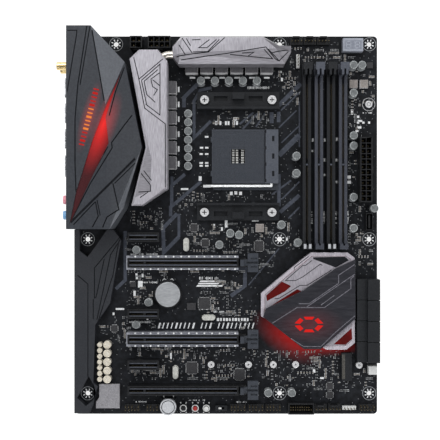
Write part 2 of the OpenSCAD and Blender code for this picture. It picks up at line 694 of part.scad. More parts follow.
module top_heatsink() color([0.56, 0.56, 0.6]) difference() {
    union() {
        translate([0, 0, overhang_z]) linear_extrude(sink_top - 6 - overhang_z) polygon(far_sink_plan);
        solid_round(concat(
            [for (p = far_sink_plan) if (p[0] < 145 || p[1] < from_far(15)) [p[0], p[1], sink_top - 6]],
            [[78, from_far(8), sink_top], [140, from_far(8), sink_top], [150, from_far(16), sink_top - 1],
                [76, from_far(20), sink_top]]));
        translate([80.6, from_far(20), sink_base]) cube([66.4, 11.4, overhang_z - sink_base]);
        for (p = far_sink_screws) at(p, top) cylinder(h = overhang_z - top + 1, r = boss_r);
    }
    pipe_route(pipe_r + 0.05);
    for (p = far_sink_screws) at(p, top - 1) cylinder(h = sink_base + 4 - top, r = sink_thread_r);
}

stage_row = phase_pitch * (phases - 1) + stage_side;

module thermal_pads() color([0.45, 0.47, 0.5]) {
    translate([rear_stage_x - stage_side / 2, rear_choke_y[0] + stage_side / 2 - stage_row, top + stage_h])
        cube([stage_side, stage_row, pad_t]);
    translate([far_choke_x[0] - stage_side / 2, far_stage_y - stage_side / 2, top + stage_h])
        cube([stage_row, stage_side, pad_t]);
}

module power_stages() color([0.05, 0.05, 0.05]) {
    for (y = rear_choke_y) box_on([rear_stage_x, y], [stage_side, stage_side, stage_h]);
    for (x = far_choke_x) box_on([x, far_stage_y], [stage_side, stage_side, stage_h]);
}

module chokes() color([0.32, 0.31, 0.32]) {
    for (y = rear_choke_y) box_on([rear_choke_x, y], [choke_side, choke_side, choke_h]);
    for (x = far_choke_x) box_on([x, far_choke_y], [choke_side, choke_side, choke_h]);
    for (p = small_chokes) box_on(p, small_choke);
}

module can(d, h) {
    cylinder(h = h - 0.3, d = d);
    cylinder(h = h, d = d - 0.8);
}

module capacitors() color([0.42, 0.44, 0.44])
    for (p = concat(far_caps, rear_caps, lone_caps)) at(p, top) can(cap_d, cap_h);

module audio_capacitors() color([0.9, 0.84, 0.72]) for (c = [0, 1], i = [0:audio_cap_n[c] - 1])
    at([audio_cap_x[c], audio_cap_y - i * audio_cap_pitch[c]], top) can(audio_cap_d[c], audio_cap_h);

// ---------- covers ----------
cover_half = [(46.2 - cover_rear) / 2, (far_edge - cover_near_y) / 2];
cover_mid = [cover_rear + cover_half[0], cover_near_y + cover_half[1]];

// The cover's solid outline; rear draws its rear face out, to leave the hollow open there
module cover_block(drop, inset, rear = 0) solid_round(roof_points(
    [for (p = cover_roof) [p[0] - (p[0] < rear_edge ? rear : 0), p[1], p[2]]], drop, inset));

module blade_column(inset) translate([0, 0, top + cover_h / 2]) linear_extrude(cover_h)
    offset(delta = -inset) polygon(blade);

module io_cover() color([0.22, 0.235, 0.25]) difference() {
    cover_block(0, 0);
    // hollow, open below and at the rear where the sockets come out
    translate([0, 0, -1]) cover_block(cover_wall - 1, cover_wall, 20);
    blade_column(0);
}

module io_light_blade() color([0.55, 0.03, 0.03]) difference() {
    intersection() {
        cover_block(blade_sink, 0);
        blade_column(gap);
    }
    cover_block(blade_sink + blade_t, -cover_wall);
}

module audio_cover() color([0.15, 0.16, 0.175]) difference() {
    translate([0, 0, top]) linear_extrude(audio_cover_h) difference() {
        polygon(audio_outline);
        for (w = audio_windows) polygon(w);
    }
    translate([0, 0, top - 1]) linear_extrude(audio_cover_h + 1 - 1.5) offset(delta = -1.4) difference() {
        polygon(audio_outline);
        for (w = audio_windows) polygon(w);
    }
}

module codec_shield() color([0.5, 0.48, 0.49]) difference() {
    translate([0, 0, top]) linear_extrude(shield_h) polygon(shield_outline);
    translate([0, 0, top - 1]) linear_extrude(shield_h + 1 - 0.4) offset(delta = -0.4) polygon(shield_outline);
}

// ---------- chipset ----------
module chipset() color([0.08, 0.1, 0.08]) {
    box_on(chipset_c, [chipset_side, chipset_side, chipset_h - 0.8]);
    box_on(chipset_c, [10, 10, chipset_h]);
}

module chipset_heatsink() color([0.74, 0.72, 0.76]) difference() {
    translate([0, 0, top + chipset_h]) linear_extrude(chip_sink_h - chipset_h) polygon(sink_outline);
    // pocket for the light guide
    translate([0, 0, top + chip_sink_h - guide_t]) linear_extrude(5) offset(delta = -3) polygon(sink_outline);
}

module chipset_light_guide() color([0.5, 0.02, 0.02]) translate([0, 0, top + chip_sink_h - guide_t])
    linear_extrude(guide_t) offset(delta = -3 - gap) polygon(sink_outline);

module chipset_top_plate() color([0.16, 0.16, 0.18]) translate([0, 0, top + chip_sink_h])
    linear_extrude(chip_plate_t) polygon(plate_outline);

// ---------- storage ----------
module sata_sockets() color([0.12, 0.125, 0.14]) for (i = [0:sata_n - 1]) {
    y = sata_y0 + i * sata_pitch;
    difference() {
        union() {
            translate([sata_x0, y, top]) cube([sata_step_x - sata_x0, sata_w, sata_step_h]);
            translate([sata_step_x, y, top]) cube([sata_x1 - sata_step_x, sata_w, sata_h]);
        }
        for (k = [0, 1]) difference() { // two mouths, each round its tongue
            translate([sata_x1 - 6, y + 1.6, top + 1.2 + 6.6 * k]) cube([10, sata_w - 3.2, 4.6]);
            translate([sata_x1 - 7, y + 3, top + 2.6 + 6.6 * k]) cube([6.4, sata_w - 6, 1.2]);
        }
    }
}

module m2_socket() color([0.2, 0.21, 0.22]) difference() {
    box_on([m2_x + m2_w / 2, m2_y], [m2_w, m2_d, m2_h]);
    translate([m2_x - 1, m2_y - m2_d / 2 + 0.6, top + 1.5]) cube([6, m2_d - 1.2, 1.2]);
}

module m2_standoffs() color([0.85, 0.85, 0.84])
    for (p = concat([for (l = m2_lengths) [m2_edge_x - l, m2_y + 1.4]], [spare_post])) difference() {
        at(p, top) cylinder(h = m2_post_h, r = m2_post_r);
        at(p, top + 0.5) cylinder(h = m2_post_h, r = m2_thread_r);
    }

// ---------- coin cell ----------
module battery_holder() color([0.05, 0.05, 0.055]) difference() {
    union() {
        at(cell_c, top) cylinder(h = holder_h, d = cell_d + 2 * gap + 2 * holder_wall);
        box_on([cell_c[0], cell_c[1] + cell_d / 2], [7, 3.4, holder_h]);
    }
    at(cell_c, top + cell_floor) cylinder(h = 10, d = cell_d + 2 * gap);
    at(cell_c, top - 1) cylinder(h = 10, d = cell_d * 0.55);
}

module coin_cell() color([0.72, 0.74, 0.76]) at(cell_c, top + cell_floor) {
    cylinder(h = 0.8, d = cell_d - 1.6);
    translate([0, 0, 0.8]) cylinder(h = cell_t - 0.8, d = cell_d);
}

// ---------- headers ----------
module fan_header(p) {
    box_on(p, [fan_w, fan_d, fan_base_h]);
    box_on([p[0] - 0.6, p[1] + fan_d / 2 - 0.6], [fan_w * 0.55, 1.2, fan_tab_h]);
}

module pin_headers() color([0.04, 0.04, 0.045]) {
    for (h = double_headers) box_on([h[0], header_y], [h[1] * pin_pitch, 2 * pin_pitch, header_base_h]);
    for (x = far_fan_x) fan_header([x, far_fan_y]);
    for (x = edge_fan_x) fan_header([x, header_y]);
    difference() {
        box_on([usb3_x, header_y], usb3_size);
        box_on([usb3_x, header_y], [usb3_size[0] - 2, usb3_size[1] - 2, usb3_size[2]], top + 1.5);
    }
    difference() {
        box_on(front_usb, front_usb_size);
        box_on(front_usb, [front_usb_size[0] - 1, front_usb_size[1] - 1, front_usb_size[2]], top + 1.5);
    }
    box_on(front_usb, [1.4, front_usb_size[1] - 3, front_usb_size[2] - 1.5]);
}

module light_headers() color([0.9, 0.9, 0.9]) {
    box_on([light_header[1], light_header[0]], [2.6, 10.8, 3]);
    box_on([edge_light_x, header_y - 0.6], [11, 3, 3]);
    difference() {
        box_on(white_socket, [white_socket_side, white_socket_side, 6]);
        translate([white_socket[0] + 1, white_socket[1] - 2.4, top + 1.4]) cube([4, 4.8, 3.4]);
    }
}

module upright_pin(p, z = header_base_h, h = pin_up) box_on(p, [pin_side, pin_side, h - z], top + z);

module header_pins() color([0.86, 0.78, 0.55]) {
    for (h = double_headers, i = [0:h[1] - 1], s = [-1, 1])
        if (!(i == h[1] - 2 && s == 1)) // one place is left empty as the key
            upright_pin([h[0] + (i - (h[1] - 1) / 2) * pin_pitch, header_y + s * pin_pitch / 2]);
    for (x = far_fan_x, i = [0:3]) upright_pin([x + (i - 1.5) * pin_pitch, far_fan_y - 0.6], fan_base_h);
    for (x = edge_fan_x, i = [0:3]) upright_pin([x + (i - 1.5) * pin_pitch, header_y - 0.6], fan_base_h);
    for (i = [0:9], s = [-1, 1]) if (!(i == 9 && s == 1))
        upright_pin([usb3_x + (i - 4.5) * 1.8, header_y + s], 1.5, usb3_size[2] - 1);
    for (i = [0:3]) {
        upright_pin([light_header[1], light_header[0] + (i - 1.5) * pin_pitch], 3);
        upright_pin([edge_light_x + (i - 1.5) * pin_pitch, header_y - 0.6], 3);
    }
    translate([power_x, power_y0 + 6 * cell_pitch + 0.6, 0]) rotate(90) socket_pins(12);
    translate([eps_x[0], eps_y, 0]) socket_pins(2);
    translate([eps_x[1], eps_y, 0]) socket_pins(4);
}

// ---------- switches ----------
module switch_housings() color([0.12, 0.12, 0.13]) {
    difference() {
        box_on(start_c, [start_housing_side, start_housing_side, start_housing_h]);
        at(start_c, top + 1) cylinder(h = 10, r = 3.6 + gap);
    }
    for (x = small_button_x) difference() {
        box_on([x, button_y], [small_side, small_side, small_h]);
        at([x, button_y], top + 1) cylinder(h = 10, r = small_r + gap);
    }
    difference() {
        box_on([knob_x, button_y], knob_body);
        box_on([knob_x, button_y], [knob_slot[0], knob_slot[1], 10], top + 1);
    }
    // block behind the two rear buttons
    difference() {
        translate([rear_edge, rear_button_y - 5, top]) cube([10, 10, 24]);
        for (z = rear_button_z) translate([rear_edge - 1, rear_button_y, z]) rotate([0, 90, 0])
            cylinder(h = 8, r = rear_button_r + gap);
    }
}

module start_button() color([0.85, 0.86, 0.88]) at(start_c) {
    translate([0, 0, top + 1 + start_travel + gap]) cylinder(h = start_housing_h, r = 3.6);
    translate([0, 0, top + start_housing_h + start_travel + gap]) difference() {
        can(start_d, start_cap_h);
        translate([0, 0, start_cap_h - 0.4]) difference() {
            cylinder(h = 2, r = start_d / 2 - 1.1);
            translate([0, 0, -1]) cylinder(h = 4, r = start_d / 2 - 1.7);
        }
    }
}

module small_button(k) at([small_button_x[k], button_y], top + 1 + small_travel + gap)
    cylinder(h = small_h - 1 + small_out - small_travel - gap, r = small_r);

module reset_button() color([0.05, 0.05, 0.05]) small_button(0);
module safe_boot_button() color([0.6, 0.08, 0.08]) small_button(1);
module retry_button() color([0.92, 0.92, 0.92]) small_button(2);

module slow_mode_knob() color([0.85, 0.85, 0.86])
    box_on([knob_x - knob_travel / 2, button_y], knob, top + 1 + gap);

module rear_button(z) translate([rear_edge - 1.8, rear_button_y, z]) rotate([0, 90, 0])
    cylinder(h = 1.8 + 7 - rear_button_travel - gap, r = rear_button_r);

module clear_button() color([0.8, 0.8, 0.82]) rear_button(rear_button_z[0]);
module flashback_button() color([0.8, 0.8, 0.82]) rear_button(rear_button_z[1]);

// ---------- rear sockets ----------
// One outlet of a tower: its mouth is cut round the contact tongue
module usb_mouth(y, z) difference() {
    translate([rear_face - 1, y - usb_mouth_w / 2, z]) cube([13, usb_mouth_w, usb_mouth_h]);
    translate([rear_face + 1.6, y - usb_mouth_w / 2 + 0.9, z + 3]) cube([12, usb_mouth_w - 1.8, 1.6]);
}

module usb_towers() color([0.75, 0.76, 0.78]) for (y = usb_tower_y) difference() {
    translate([rear_face, y - usb_w / 2, top]) cube([usb_l, usb_w, 4 * usb_port_h]);
    for (k = [0:3]) usb_mouth(y, top + 1.2 + usb_port_h * k);
}

module network_tower() color([0.7, 0.71, 0.73]) difference() {
    translate([rear_face, network_y - network_w / 2, top]) cube([network_l, network_w, network_h]);
    for (k = [0, 1]) usb_mouth(network_y, top + 1.2 + usb_port_h * k);
    translate([rear_face - 1, network_y - rj_w / 2, top + 2 * usb_port_h + 2.6]) cube([14, rj_w, rj_h]);
    translate([rear_face - 1, network_y - 3, top + 2 * usb_port_h + 1.2]) cube([6, 6, 2]);
}

module jack_housing(y, z) translate([rear_edge - 1, y - (jack_pitch - jack_seam) / 2, z - (jack_rise - jack_seam) / 2])
    cube([jack_module_d, jack_pitch - jack_seam, jack_rise - jack_seam]);

module round_jack(y, z) difference() {
    union() {
        jack_housing(y, z);
        translate([rear_edge - jack_out, y, z]) rotate([0, 90, 0]) cylinder(h = jack_out, r = jack_ring_r);
    }
    translate([rear_edge - jack_out - 1, y, z]) rotate([0, 90, 0]) cylinder(h = jack_depth + 1, r = jack_bore_r);
}

// Six modules stacked two by three; a square optical outlet takes the place of the sixth jack
module audio_jack_block() color([0.05, 0.05, 0.055]) {
    for (y = jack_y, z = jack_z) if (!(y == jack_y[0] && z == jack_z[0])) round_jack(y, z);
    difference() {
        union() {
            jack_housing(jack_y[0], jack_z[0]);
            translate([rear_edge - jack_out + 1, jack_y[0] - 4.2, jack_z[0] - 4]) cube([jack_out, 8.4, 8]);
        }
        translate([rear_edge - jack_out, jack_y[0] - 3, jack_z[0] - 3]) cube([9, 6, 6]);
    }
}

module wireless_module() color([0.6, 0.61, 0.63]) {
    translate([antenna_plate_x, antenna_y - 8, top]) cube([4, 16, 31]);
    translate([antenna_plate_x + 4, antenna_y - 8, top]) cube([22, 16, 5]);
}

module antenna_jacks() color([0.85, 0.7, 0.35]) for (z = antenna_z) translate([antenna_plate_x, antenna_y, z])
    rotate([0, -90, 0]) difference() {
        union() {
            cylinder(h = antenna_l, r = antenna_r);
            cylinder(h = 2, r = 4.6, $fn = 6);
        }
        translate([0, 0, 2]) difference() {
            cylinder(h = antenna_l, r = 2.3);
            cylinder(h = antenna_l - 4, r = 0.9);
        }
    }

// ---------- other parts on the board ----------
module code_display() color([0.62, 0.64, 0.68]) box_on(display_c, display_size);

module integrated_circuits() color([0.07, 0.07, 0.075]) {
    for (c = chips) box_on(c, [c[2], c[3], c[4]]);
    box_on(audio_chip, [audio_chip[2], audio_chip[3], audio_chip[4]]);
}

module crystals() color([0.8, 0.81, 0.8]) for (c = can_list) at(c, top) rotate(c[2]) {
    oval(can_l, can_w, 0.5);
    oval(can_l - 0.8, can_w - 0.8, can_h);
}

circuit_board();
socket_backplate();
cooler_brackets();
screws();
socket_base();
memory_slots();
expansion_slots();
slot_shields();
main_power_socket();
cpu_power_sockets();
rear_heatsink();
top_heatsink();
heat_pipe();
thermal_pads();
power_stages();
chokes();
capacitors();
audio_capacitors();
io_cover();
io_light_blade();
audio_cover();
codec_shield();
chipset();
chipset_heatsink();
chipset_top_plate();
chipset_light_guide();
sata_sockets();
m2_socket();
m2_standoffs();
battery_holder();
pin_headers();
light_headers();
header_pins();
switch_housings();
usb_towers();
network_tower();
audio_jack_block();
wireless_module();
antenna_jacks();
code_display();
integrated_circuits();
crystals();
solder_tails();
socket_cover();
socket_lever();
memory_latch(0);  // memory_latch_1
memory_latch(1);  // memory_latch_2
memory_latch(2);  // memory_latch_3
memory_latch(3);  // memory_latch_4
x16_latch(0);  // x16_latch_1
x16_latch(1);  // x16_latch_2
x16_latch(2);  // x16_latch_3
start_button();
reset_button();
safe_boot_button();
retry_button();
slow_mode_knob();
clear_button();
flashback_button();
coin_cell();
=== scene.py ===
"""Looks of a computer motherboard, built round its CAD frame.

Lengths in this script are millimetres in the CAD part's own frame, and metres in the meshes.
"""

import json
import math
import random

import bmesh
import bpy
from bpy.props import FloatProperty, FloatVectorProperty, IntProperty, PointerProperty
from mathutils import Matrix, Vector
from mathutils.bvhtree import BVHTree


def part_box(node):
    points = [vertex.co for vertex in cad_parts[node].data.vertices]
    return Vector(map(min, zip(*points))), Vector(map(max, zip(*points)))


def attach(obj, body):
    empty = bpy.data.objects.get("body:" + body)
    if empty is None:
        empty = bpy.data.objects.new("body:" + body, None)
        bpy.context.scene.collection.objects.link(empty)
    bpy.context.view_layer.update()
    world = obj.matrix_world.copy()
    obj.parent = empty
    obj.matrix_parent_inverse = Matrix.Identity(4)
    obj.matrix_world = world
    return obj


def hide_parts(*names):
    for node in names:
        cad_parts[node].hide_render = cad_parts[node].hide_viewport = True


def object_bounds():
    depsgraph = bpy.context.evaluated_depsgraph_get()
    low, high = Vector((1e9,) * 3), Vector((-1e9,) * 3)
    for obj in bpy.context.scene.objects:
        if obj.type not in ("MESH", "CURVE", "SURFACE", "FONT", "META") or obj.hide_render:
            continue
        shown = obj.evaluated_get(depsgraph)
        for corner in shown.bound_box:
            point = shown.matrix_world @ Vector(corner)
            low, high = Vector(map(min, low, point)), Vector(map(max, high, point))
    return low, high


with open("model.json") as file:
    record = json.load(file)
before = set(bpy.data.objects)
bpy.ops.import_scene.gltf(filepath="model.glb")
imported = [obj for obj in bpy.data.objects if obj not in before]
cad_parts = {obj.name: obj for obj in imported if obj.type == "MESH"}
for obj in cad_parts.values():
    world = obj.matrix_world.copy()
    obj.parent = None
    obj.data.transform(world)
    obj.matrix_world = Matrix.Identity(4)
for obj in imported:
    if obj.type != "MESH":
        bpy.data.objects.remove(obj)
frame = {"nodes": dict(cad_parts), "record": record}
CAD_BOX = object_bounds()

bl_info = {
    "name": "Motherboard looks",
    "version": (1, 0, 0),
    "blender": (4, 5, 0),
    "location": "3D View > Sidebar > Motherboard",
    "description": "Builds the visual pieces of a computer motherboard on its CAD frame",
    "category": "Object",
}

MM = 0.001
SLOT_OF = {row["node"]: row["material_slot"] for row in frame["record"]["subparts"]}
REAR, NEAR, FRONT, FAR = -10.16, -16.51, 233.68, 288.29
TOP = 1.6
SUNK = TOP - 0.01
# The camera's place over the board, and its height above the board's top
EYE = (106.8, 140.0)
EYE_RISE = 624.0
HOLES = [(0, 0), (154.94, 0), (227.33, 0), (0, 124.46), (154.94, 124.46), (227.33, 124.46),
         (22.86, 281.94), (154.94, 281.94), (227.33, 281.94)]
MEMORY_XS = (176.03, 185.68, 195.33, 204.98)
SLOT_YS = [126.32 - 20.32 * i for i in range(7)]
SLOTS, LONG_SLOTS, SHIELDED_SLOTS = (0, 1, 3, 4, 5, 6), (1, 4, 6), (1, 4)
BUTTON_XS, BUTTON_Y = (77.3, 86.9, 95.8), -11.21


# ---------- materials ----------
def finish(name, base, other=None, rough=0.45, spread=0.08, metal=0.0, grain=900.0, bump=0.05,
           streak=None, level=0.5, coat=0.0, glow=None, strength=0.0):
    """A procedural finish: two shades mixed by a noise on Object coordinates, uneven gloss and a
    fine relief. streak stretches the noise along an axis, for brushed metal."""
    name = "look_" + name
    found = bpy.data.materials.get(name)
    if found:
        return found
    mat = bpy.data.materials.new(name)
    mat.use_nodes = True
    tree = mat.node_tree
    shader = tree.nodes["Principled BSDF"]
    shader.inputs["Metallic"].default_value = metal
    shader.inputs["Specular IOR Level"].default_value = level
    shader.inputs["Coat Weight"].default_value = coat
    coord = tree.nodes.new("ShaderNodeTexCoord")
    mapping = tree.nodes.new("ShaderNodeMapping")
    mapping.inputs["Scale"].default_value = streak or (1.0, 1.0, 1.0)
    tree.links.new(coord.outputs["Object"], mapping.inputs["Vector"])

    def noise(scale, detail):
        made = tree.nodes.new("ShaderNodeTexNoise")
        made.inputs["Scale"].default_value = scale
        made.inputs["Detail"].default_value = detail
        tree.links.new(mapping.outputs["Vector"], made.inputs["Vector"])
        return made.outputs["Fac"]

    other = other or tuple(min(1.0, c * 1.35 + 0.004) for c in base)
    ramp = tree.nodes.new("ShaderNodeValToRGB")
    ramp.color_ramp.elements[0].position = 0.38
    ramp.color_ramp.elements[1].position = 0.64
    ramp.color_ramp.elements[0].color = (*base, 1.0)
    ramp.color_ramp.elements[1].color = (*other, 1.0)
    tree.links.new(noise(grain, 3.0), ramp.inputs["Fac"])
    tree.links.new(ramp.outputs["Color"], shader.inputs["Base Color"])
    gloss = tree.nodes.new("ShaderNodeMapRange")
    gloss.inputs["From Min"].default_value = 0.3
    gloss.inputs["From Max"].default_value = 0.7
    gloss.inputs["To Min"].default_value = max(0.03, rough - spread)
    gloss.inputs["To Max"].default_value = min(1.0, rough + spread)
    tree.links.new(noise(grain * 0.37, 2.0), gloss.inputs["Value"])
    tree.links.new(gloss.outputs["Result"], shader.inputs["Roughness"])
    if bump:
        relief = tree.nodes.new("ShaderNodeBump")
        relief.inputs["Strength"].default_value = bump
        relief.inputs["Distance"].default_value = 0.0002
        tree.links.new(noise(grain * 2.6, 2.0), relief.inputs["Height"])
        tree.links.new(relief.outputs["Normal"], shader.inputs["Normal"])
    if glow:
        shader.inputs["Emission Color"].default_value = (*glow, 1.0)
        shader.inputs["Emission Strength"].default_value = strength
    return mat


def laminate():
    return finish("laminate", (0.006, 0.0066, 0.0080), (0.011, 0.0122, 0.0150), rough=0.55, grain=260.0,
                  level=0.1)


def slate():
    return finish("slate_print", (0.036, 0.041, 0.054), (0.053, 0.060, 0.078), rough=0.5, grain=420.0,
                  level=0.2)


def silk():
    return finish("white_print", (0.50, 0.51, 0.52), (0.70, 0.71, 0.72), rough=0.6, grain=1500.0)


def dim_silk():
    return finish("grey_print", (0.16, 0.17, 0.18), (0.28, 0.29, 0.30), rough=0.6, grain=1500.0)


def black_plastic():
    return finish("black_plastic", (0.006, 0.0063, 0.0074), (0.010, 0.0107, 0.0122), rough=0.48, level=0.25)


def dark_plastic():
    return finish("dark_plastic", (0.008, 0.0088, 0.0105), (0.0135, 0.0148, 0.0175), rough=0.48, level=0.2)


def slate_plastic():
    return finish("slate_plastic", (0.025, 0.029, 0.037), (0.034, 0.039, 0.050), rough=0.42, level=0.35)


def grey_plastic():
    return finish("grey_plastic", (0.046, 0.051, 0.066), (0.060, 0.067, 0.085), rough=0.4, level=0.35)


def pale_plastic():
    return finish("pale_plastic", (0.47, 0.475, 0.47), (0.55, 0.555, 0.55), rough=0.4)


def red_plastic():
    return finish("red_plastic", (0.22, 0.016, 0.016), (0.29, 0.024, 0.022), rough=0.35)


def bright_metal():
    return finish("bright_metal", (0.66, 0.66, 0.67), (0.80, 0.80, 0.81), rough=0.26, metal=0.5, grain=700.0)


def steel():
    return finish("pressed_steel", (0.30, 0.31, 0.35), (0.42, 0.43, 0.48), rough=0.32, metal=0.5,
                  streak=(1.0, 6.0, 1.0))


def gold():
    return finish("gold_plate", (0.80, 0.60, 0.27), (0.88, 0.70, 0.38), rough=0.26, metal=1.0)


def tin():
    return finish("tin", (0.62, 0.63, 0.64), (0.82, 0.83, 0.84), rough=0.34, metal=0.3)


def solder():
    """Soldered ends, some bright and some dull: the shade changes from part to part."""
    return finish("solder", (0.10, 0.105, 0.11), (0.52, 0.53, 0.54), rough=0.4, metal=0.2, grain=420.0)


def dull_gold():
    return finish("dull_gold", (0.085, 0.066, 0.034), (0.15, 0.12, 0.065), rough=0.4, metal=0.6)


def black_metal():
    return finish("blackened_steel", (0.03, 0.03, 0.034), (0.045, 0.045, 0.05), rough=0.4, metal=0.4)


def groove():
    return finish("groove_shadow", (0.006, 0.0066, 0.0085), (0.010, 0.011, 0.0135), rough=0.65, level=0.1)


def halo(mat, centre, size, turn, colour, strength):
    """Adds a soft glow to a finish: light that falls off from a centre, in millimetres, across an oval."""
    nodes, link = mat.node_tree.nodes, mat.node_tree.links.new
    coord = nodes.new("ShaderNodeTexCoord")
    mapping = nodes.new("ShaderNodeMapping")
    mapping.vector_type = "TEXTURE"
    mapping.inputs["Location"].default_value = (centre[0] * MM, centre[1] * MM, 0.0)
    mapping.inputs["Rotation"].default_value = (0.0, 0.0, turn)
    mapping.inputs["Scale"].default_value = (size[0] * MM, size[1] * MM, 10.0)
    ball = nodes.new("ShaderNodeTexGradient")
    ball.gradient_type = "SPHERICAL"
    falloff = nodes.new("ShaderNodeMath")
    falloff.operation = "POWER"
    falloff.inputs[1].default_value = 1.5
    power = nodes.new("ShaderNodeMath")
    power.operation = "MULTIPLY"
    power.inputs[1].default_value = strength
    shader = nodes["Principled BSDF"]
    shader.inputs["Emission Color"].default_value = (*colour, 1.0)
    link(coord.outputs["Object"], mapping.inputs["Vector"])
    link(mapping.outputs["Vector"], ball.inputs["Vector"])
    link(ball.outputs["Fac"], falloff.inputs[0])
    link(falloff.outputs["Value"], power.inputs[0])
    old = shader.inputs["Emission Strength"].links
    if old:
        both = nodes.new("ShaderNodeMath")
        both.operation = "ADD"
        link(old[0].from_socket, both.inputs[0])
        link(power.outputs["Value"], both.inputs[1])
        link(both.outputs["Value"], shader.inputs["Emission Strength"])
    else:
        link(power.outputs["Value"], shader.inputs["Emission Strength"])


# ---------- shapes ----------
class Solid:
    """Closed shapes in millimetres, collected into one mesh. mark is the index of their material."""

    def __init__(self):
        self.verts, self.faces, self.marks = [], [], []

    def shell(self, verts, faces, mark=0):
        base = len(self.verts)
        self.verts += verts
        self.faces += [tuple(base + i for i in f) for f in faces]
        self.marks += [mark] * len(faces)

    def prism(self, outline, low, high, mark=0):
        area = sum(a[0] * b[1] - b[0] * a[1] for a, b in zip(outline, outline[1:] + outline[:1]))
        pts = list(outline) if area > 0 else list(outline)[::-1]
        n = len(pts)
        verts = [(x, y, low) for x, y in pts] + [(x, y, high) for x, y in pts]
        faces = [tuple(range(n - 1, -1, -1)), tuple(range(n, 2 * n))]
        faces += [(i, (i + 1) % n, n + (i + 1) % n, n + i) for i in range(n)]
        self.shell(verts, faces, mark)

    def box(self, x0, y0, z0, x1, y1, z1, mark=0):
        self.prism([(x0, y0), (x1, y0), (x1, y1), (x0, y1)], z0, z1, mark)

    def centred(self, x, y, w, d, low, high, mark=0, turn=0.0):
        c, s = math.cos(turn), math.sin(turn)
        self.prism([(x + c * a * w / 2 - s * b * d / 2, y + s * a * w / 2 + c * b * d / 2)
                    for a, b in ((-1, -1), (1, -1), (1, 1), (-1, 1))], low, high, mark)

    def disc(self, x, y, r, low, high, sides=20, mark=0):
        self.prism([(x + r * math.cos(2 * math.pi * i / sides), y + r * math.sin(2 * math.pi * i / sides))
                    for i in range(sides)], low, high, mark)

    def ring(self, x, y, inner, outer, low, high, sides=28, mark=0):
        verts, faces = [], []
        for i in range(sides):
            a = 2 * math.pi * i / sides
            for r, z in ((inner, low), (outer, low), (outer, high), (inner, high)):
                verts.append((x + r * math.cos(a), y + r * math.sin(a), z))
        for i in range(sides):
            a, b = 4 * i, 4 * ((i + 1) % sides)
            for k in range(4):
                faces.append((a + k, b + k, b + (k + 1) % 4, a + (k + 1) % 4)[::-1])
        self.shell(verts, faces, mark)

    def ribbon(self, points, width, low, high, mark=0, closed=False, level=None, step=None):
        """A mitred strip along a line. level(x, y) gives the height of the face it follows."""
        pts = [Vector(p) for p in points]
        if step:
            fine = []
            for a, b in zip(pts, pts[1:] + (pts[:1] if closed else [])):
                n = max(1, int((b - a).length / step))
                fine += [a.lerp(b, k / n) for k in range(n)]
            pts = fine if closed else fine + [pts[-1]]
        n = len(pts)
        rows = []
        for i, p in enumerate(pts):
            before = (p - pts[i - 1]).normalized() if i or closed else None
            after = (pts[(i + 1) % n] - p).normalized() if i < n - 1 or closed else None
            before, after = before or after, after or before
            side = Vector((-before.y - after.y, before.x + after.x)).normalized()
            reach = width / 2 / max(0.35, side.dot(Vector((-before.y, before.x))))
            rows.append((p - side * reach, p + side * reach))
        verts = []
        for a, b in rows:
            za, zb = (level(a.x, a.y), level(b.x, b.y)) if level else (0.0, 0.0)
            verts += [(a.x, a.y, za + low), (b.x, b.y, zb + low),
                      (b.x, b.y, zb + high), (a.x, a.y, za + high)]
        faces = []
        for i in range(n if closed else n - 1):
            a, b = 4 * i, 4 * ((i + 1) % n)
            for k in range(4):
                faces.append((a + k, a + (k + 1) % 4, b + (k + 1) % 4, b + k))
        if not closed:
            faces += [(3, 2, 1, 0), (4 * n - 4, 4 * n - 3, 4 * n - 2, 4 * n - 1)]
        self.shell(verts, faces, mark)

    def make(self, name, *mats):
        mesh = bpy.data.meshes.new(name)
        mesh.from_pydata([(x * MM, y * MM, z * MM) for x, y, z in self.verts], [], self.faces)
        for mat in mats:
            mesh.materials.append(mat)
        mesh.polygons.foreach_set("material_index", self.marks)
        clean(mesh)
        return linked(name, mesh)


def linked(name, data):
    """A new object with this data, in the scene."""
    obj = bpy.data.objects.new(name, data)
    bpy.context.scene.collection.objects.link(obj)
    return obj


def clean(mesh):
    """Turns every closed shell's normals outward."""
    bm = bmesh.new()
    bm.from_mesh(mesh)
    bmesh.ops.recalc_face_normals(bm, faces=bm.faces)
    bm.to_mesh(mesh)
    bm.free()
    mesh.update()


def smooth(obj, angle=32.0):
    obj.data.shade_smooth()
    obj.data.set_sharp_from_angle(angle=math.radians(angle))


def rounded(obj, width, segments=2, angle=35.0):
    """A live bevel on the piece's edges."""
    if width <= 0:
        return
    mod = obj.modifiers.new("edges", "BEVEL")
    mod.width = width * MM
    mod.segments = segments
    mod.limit_method = "ANGLE"
    mod.angle_limit = math.radians(angle)
    mod.use_clamp_overlap = True
    mod.harden_normals = True


def settle(obj, slot, body="root", nodes=()):
    """Puts a finished piece on its body and hides the CAD nodes it stands for; slot is not used."""
    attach(obj, body)
    if nodes:
        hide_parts(*nodes)
    return obj


def merged(node, name):
    """A plain copy of a CAD node's mesh, its corners merged and its flat faces whole."""
    bm = bmesh.new()
    bm.from_mesh(frame["nodes"][node].data)
    bmesh.ops.remove_doubles(bm, verts=bm.verts, dist=2e-6)
    bmesh.ops.dissolve_limit(bm, angle_limit=math.radians(0.6), verts=bm.verts, edges=bm.edges)
    bmesh.ops.recalc_face_normals(bm, faces=bm.faces)
    bm.verts.index_update()
    mesh = bpy.data.meshes.new(name)
    mesh.from_pydata([v.co.copy() for v in bm.verts], [], [[v.index for v in f.verts] for f in bm.faces])
    bm.free()
    return linked(name, mesh)


def paint(obj, rule):
    """Gives each face the finish that rule(centre, normal) picks, the centre in millimetres."""
    for face in obj.data.polygons:
        face.material_index = rule(face.center / MM, face.normal)


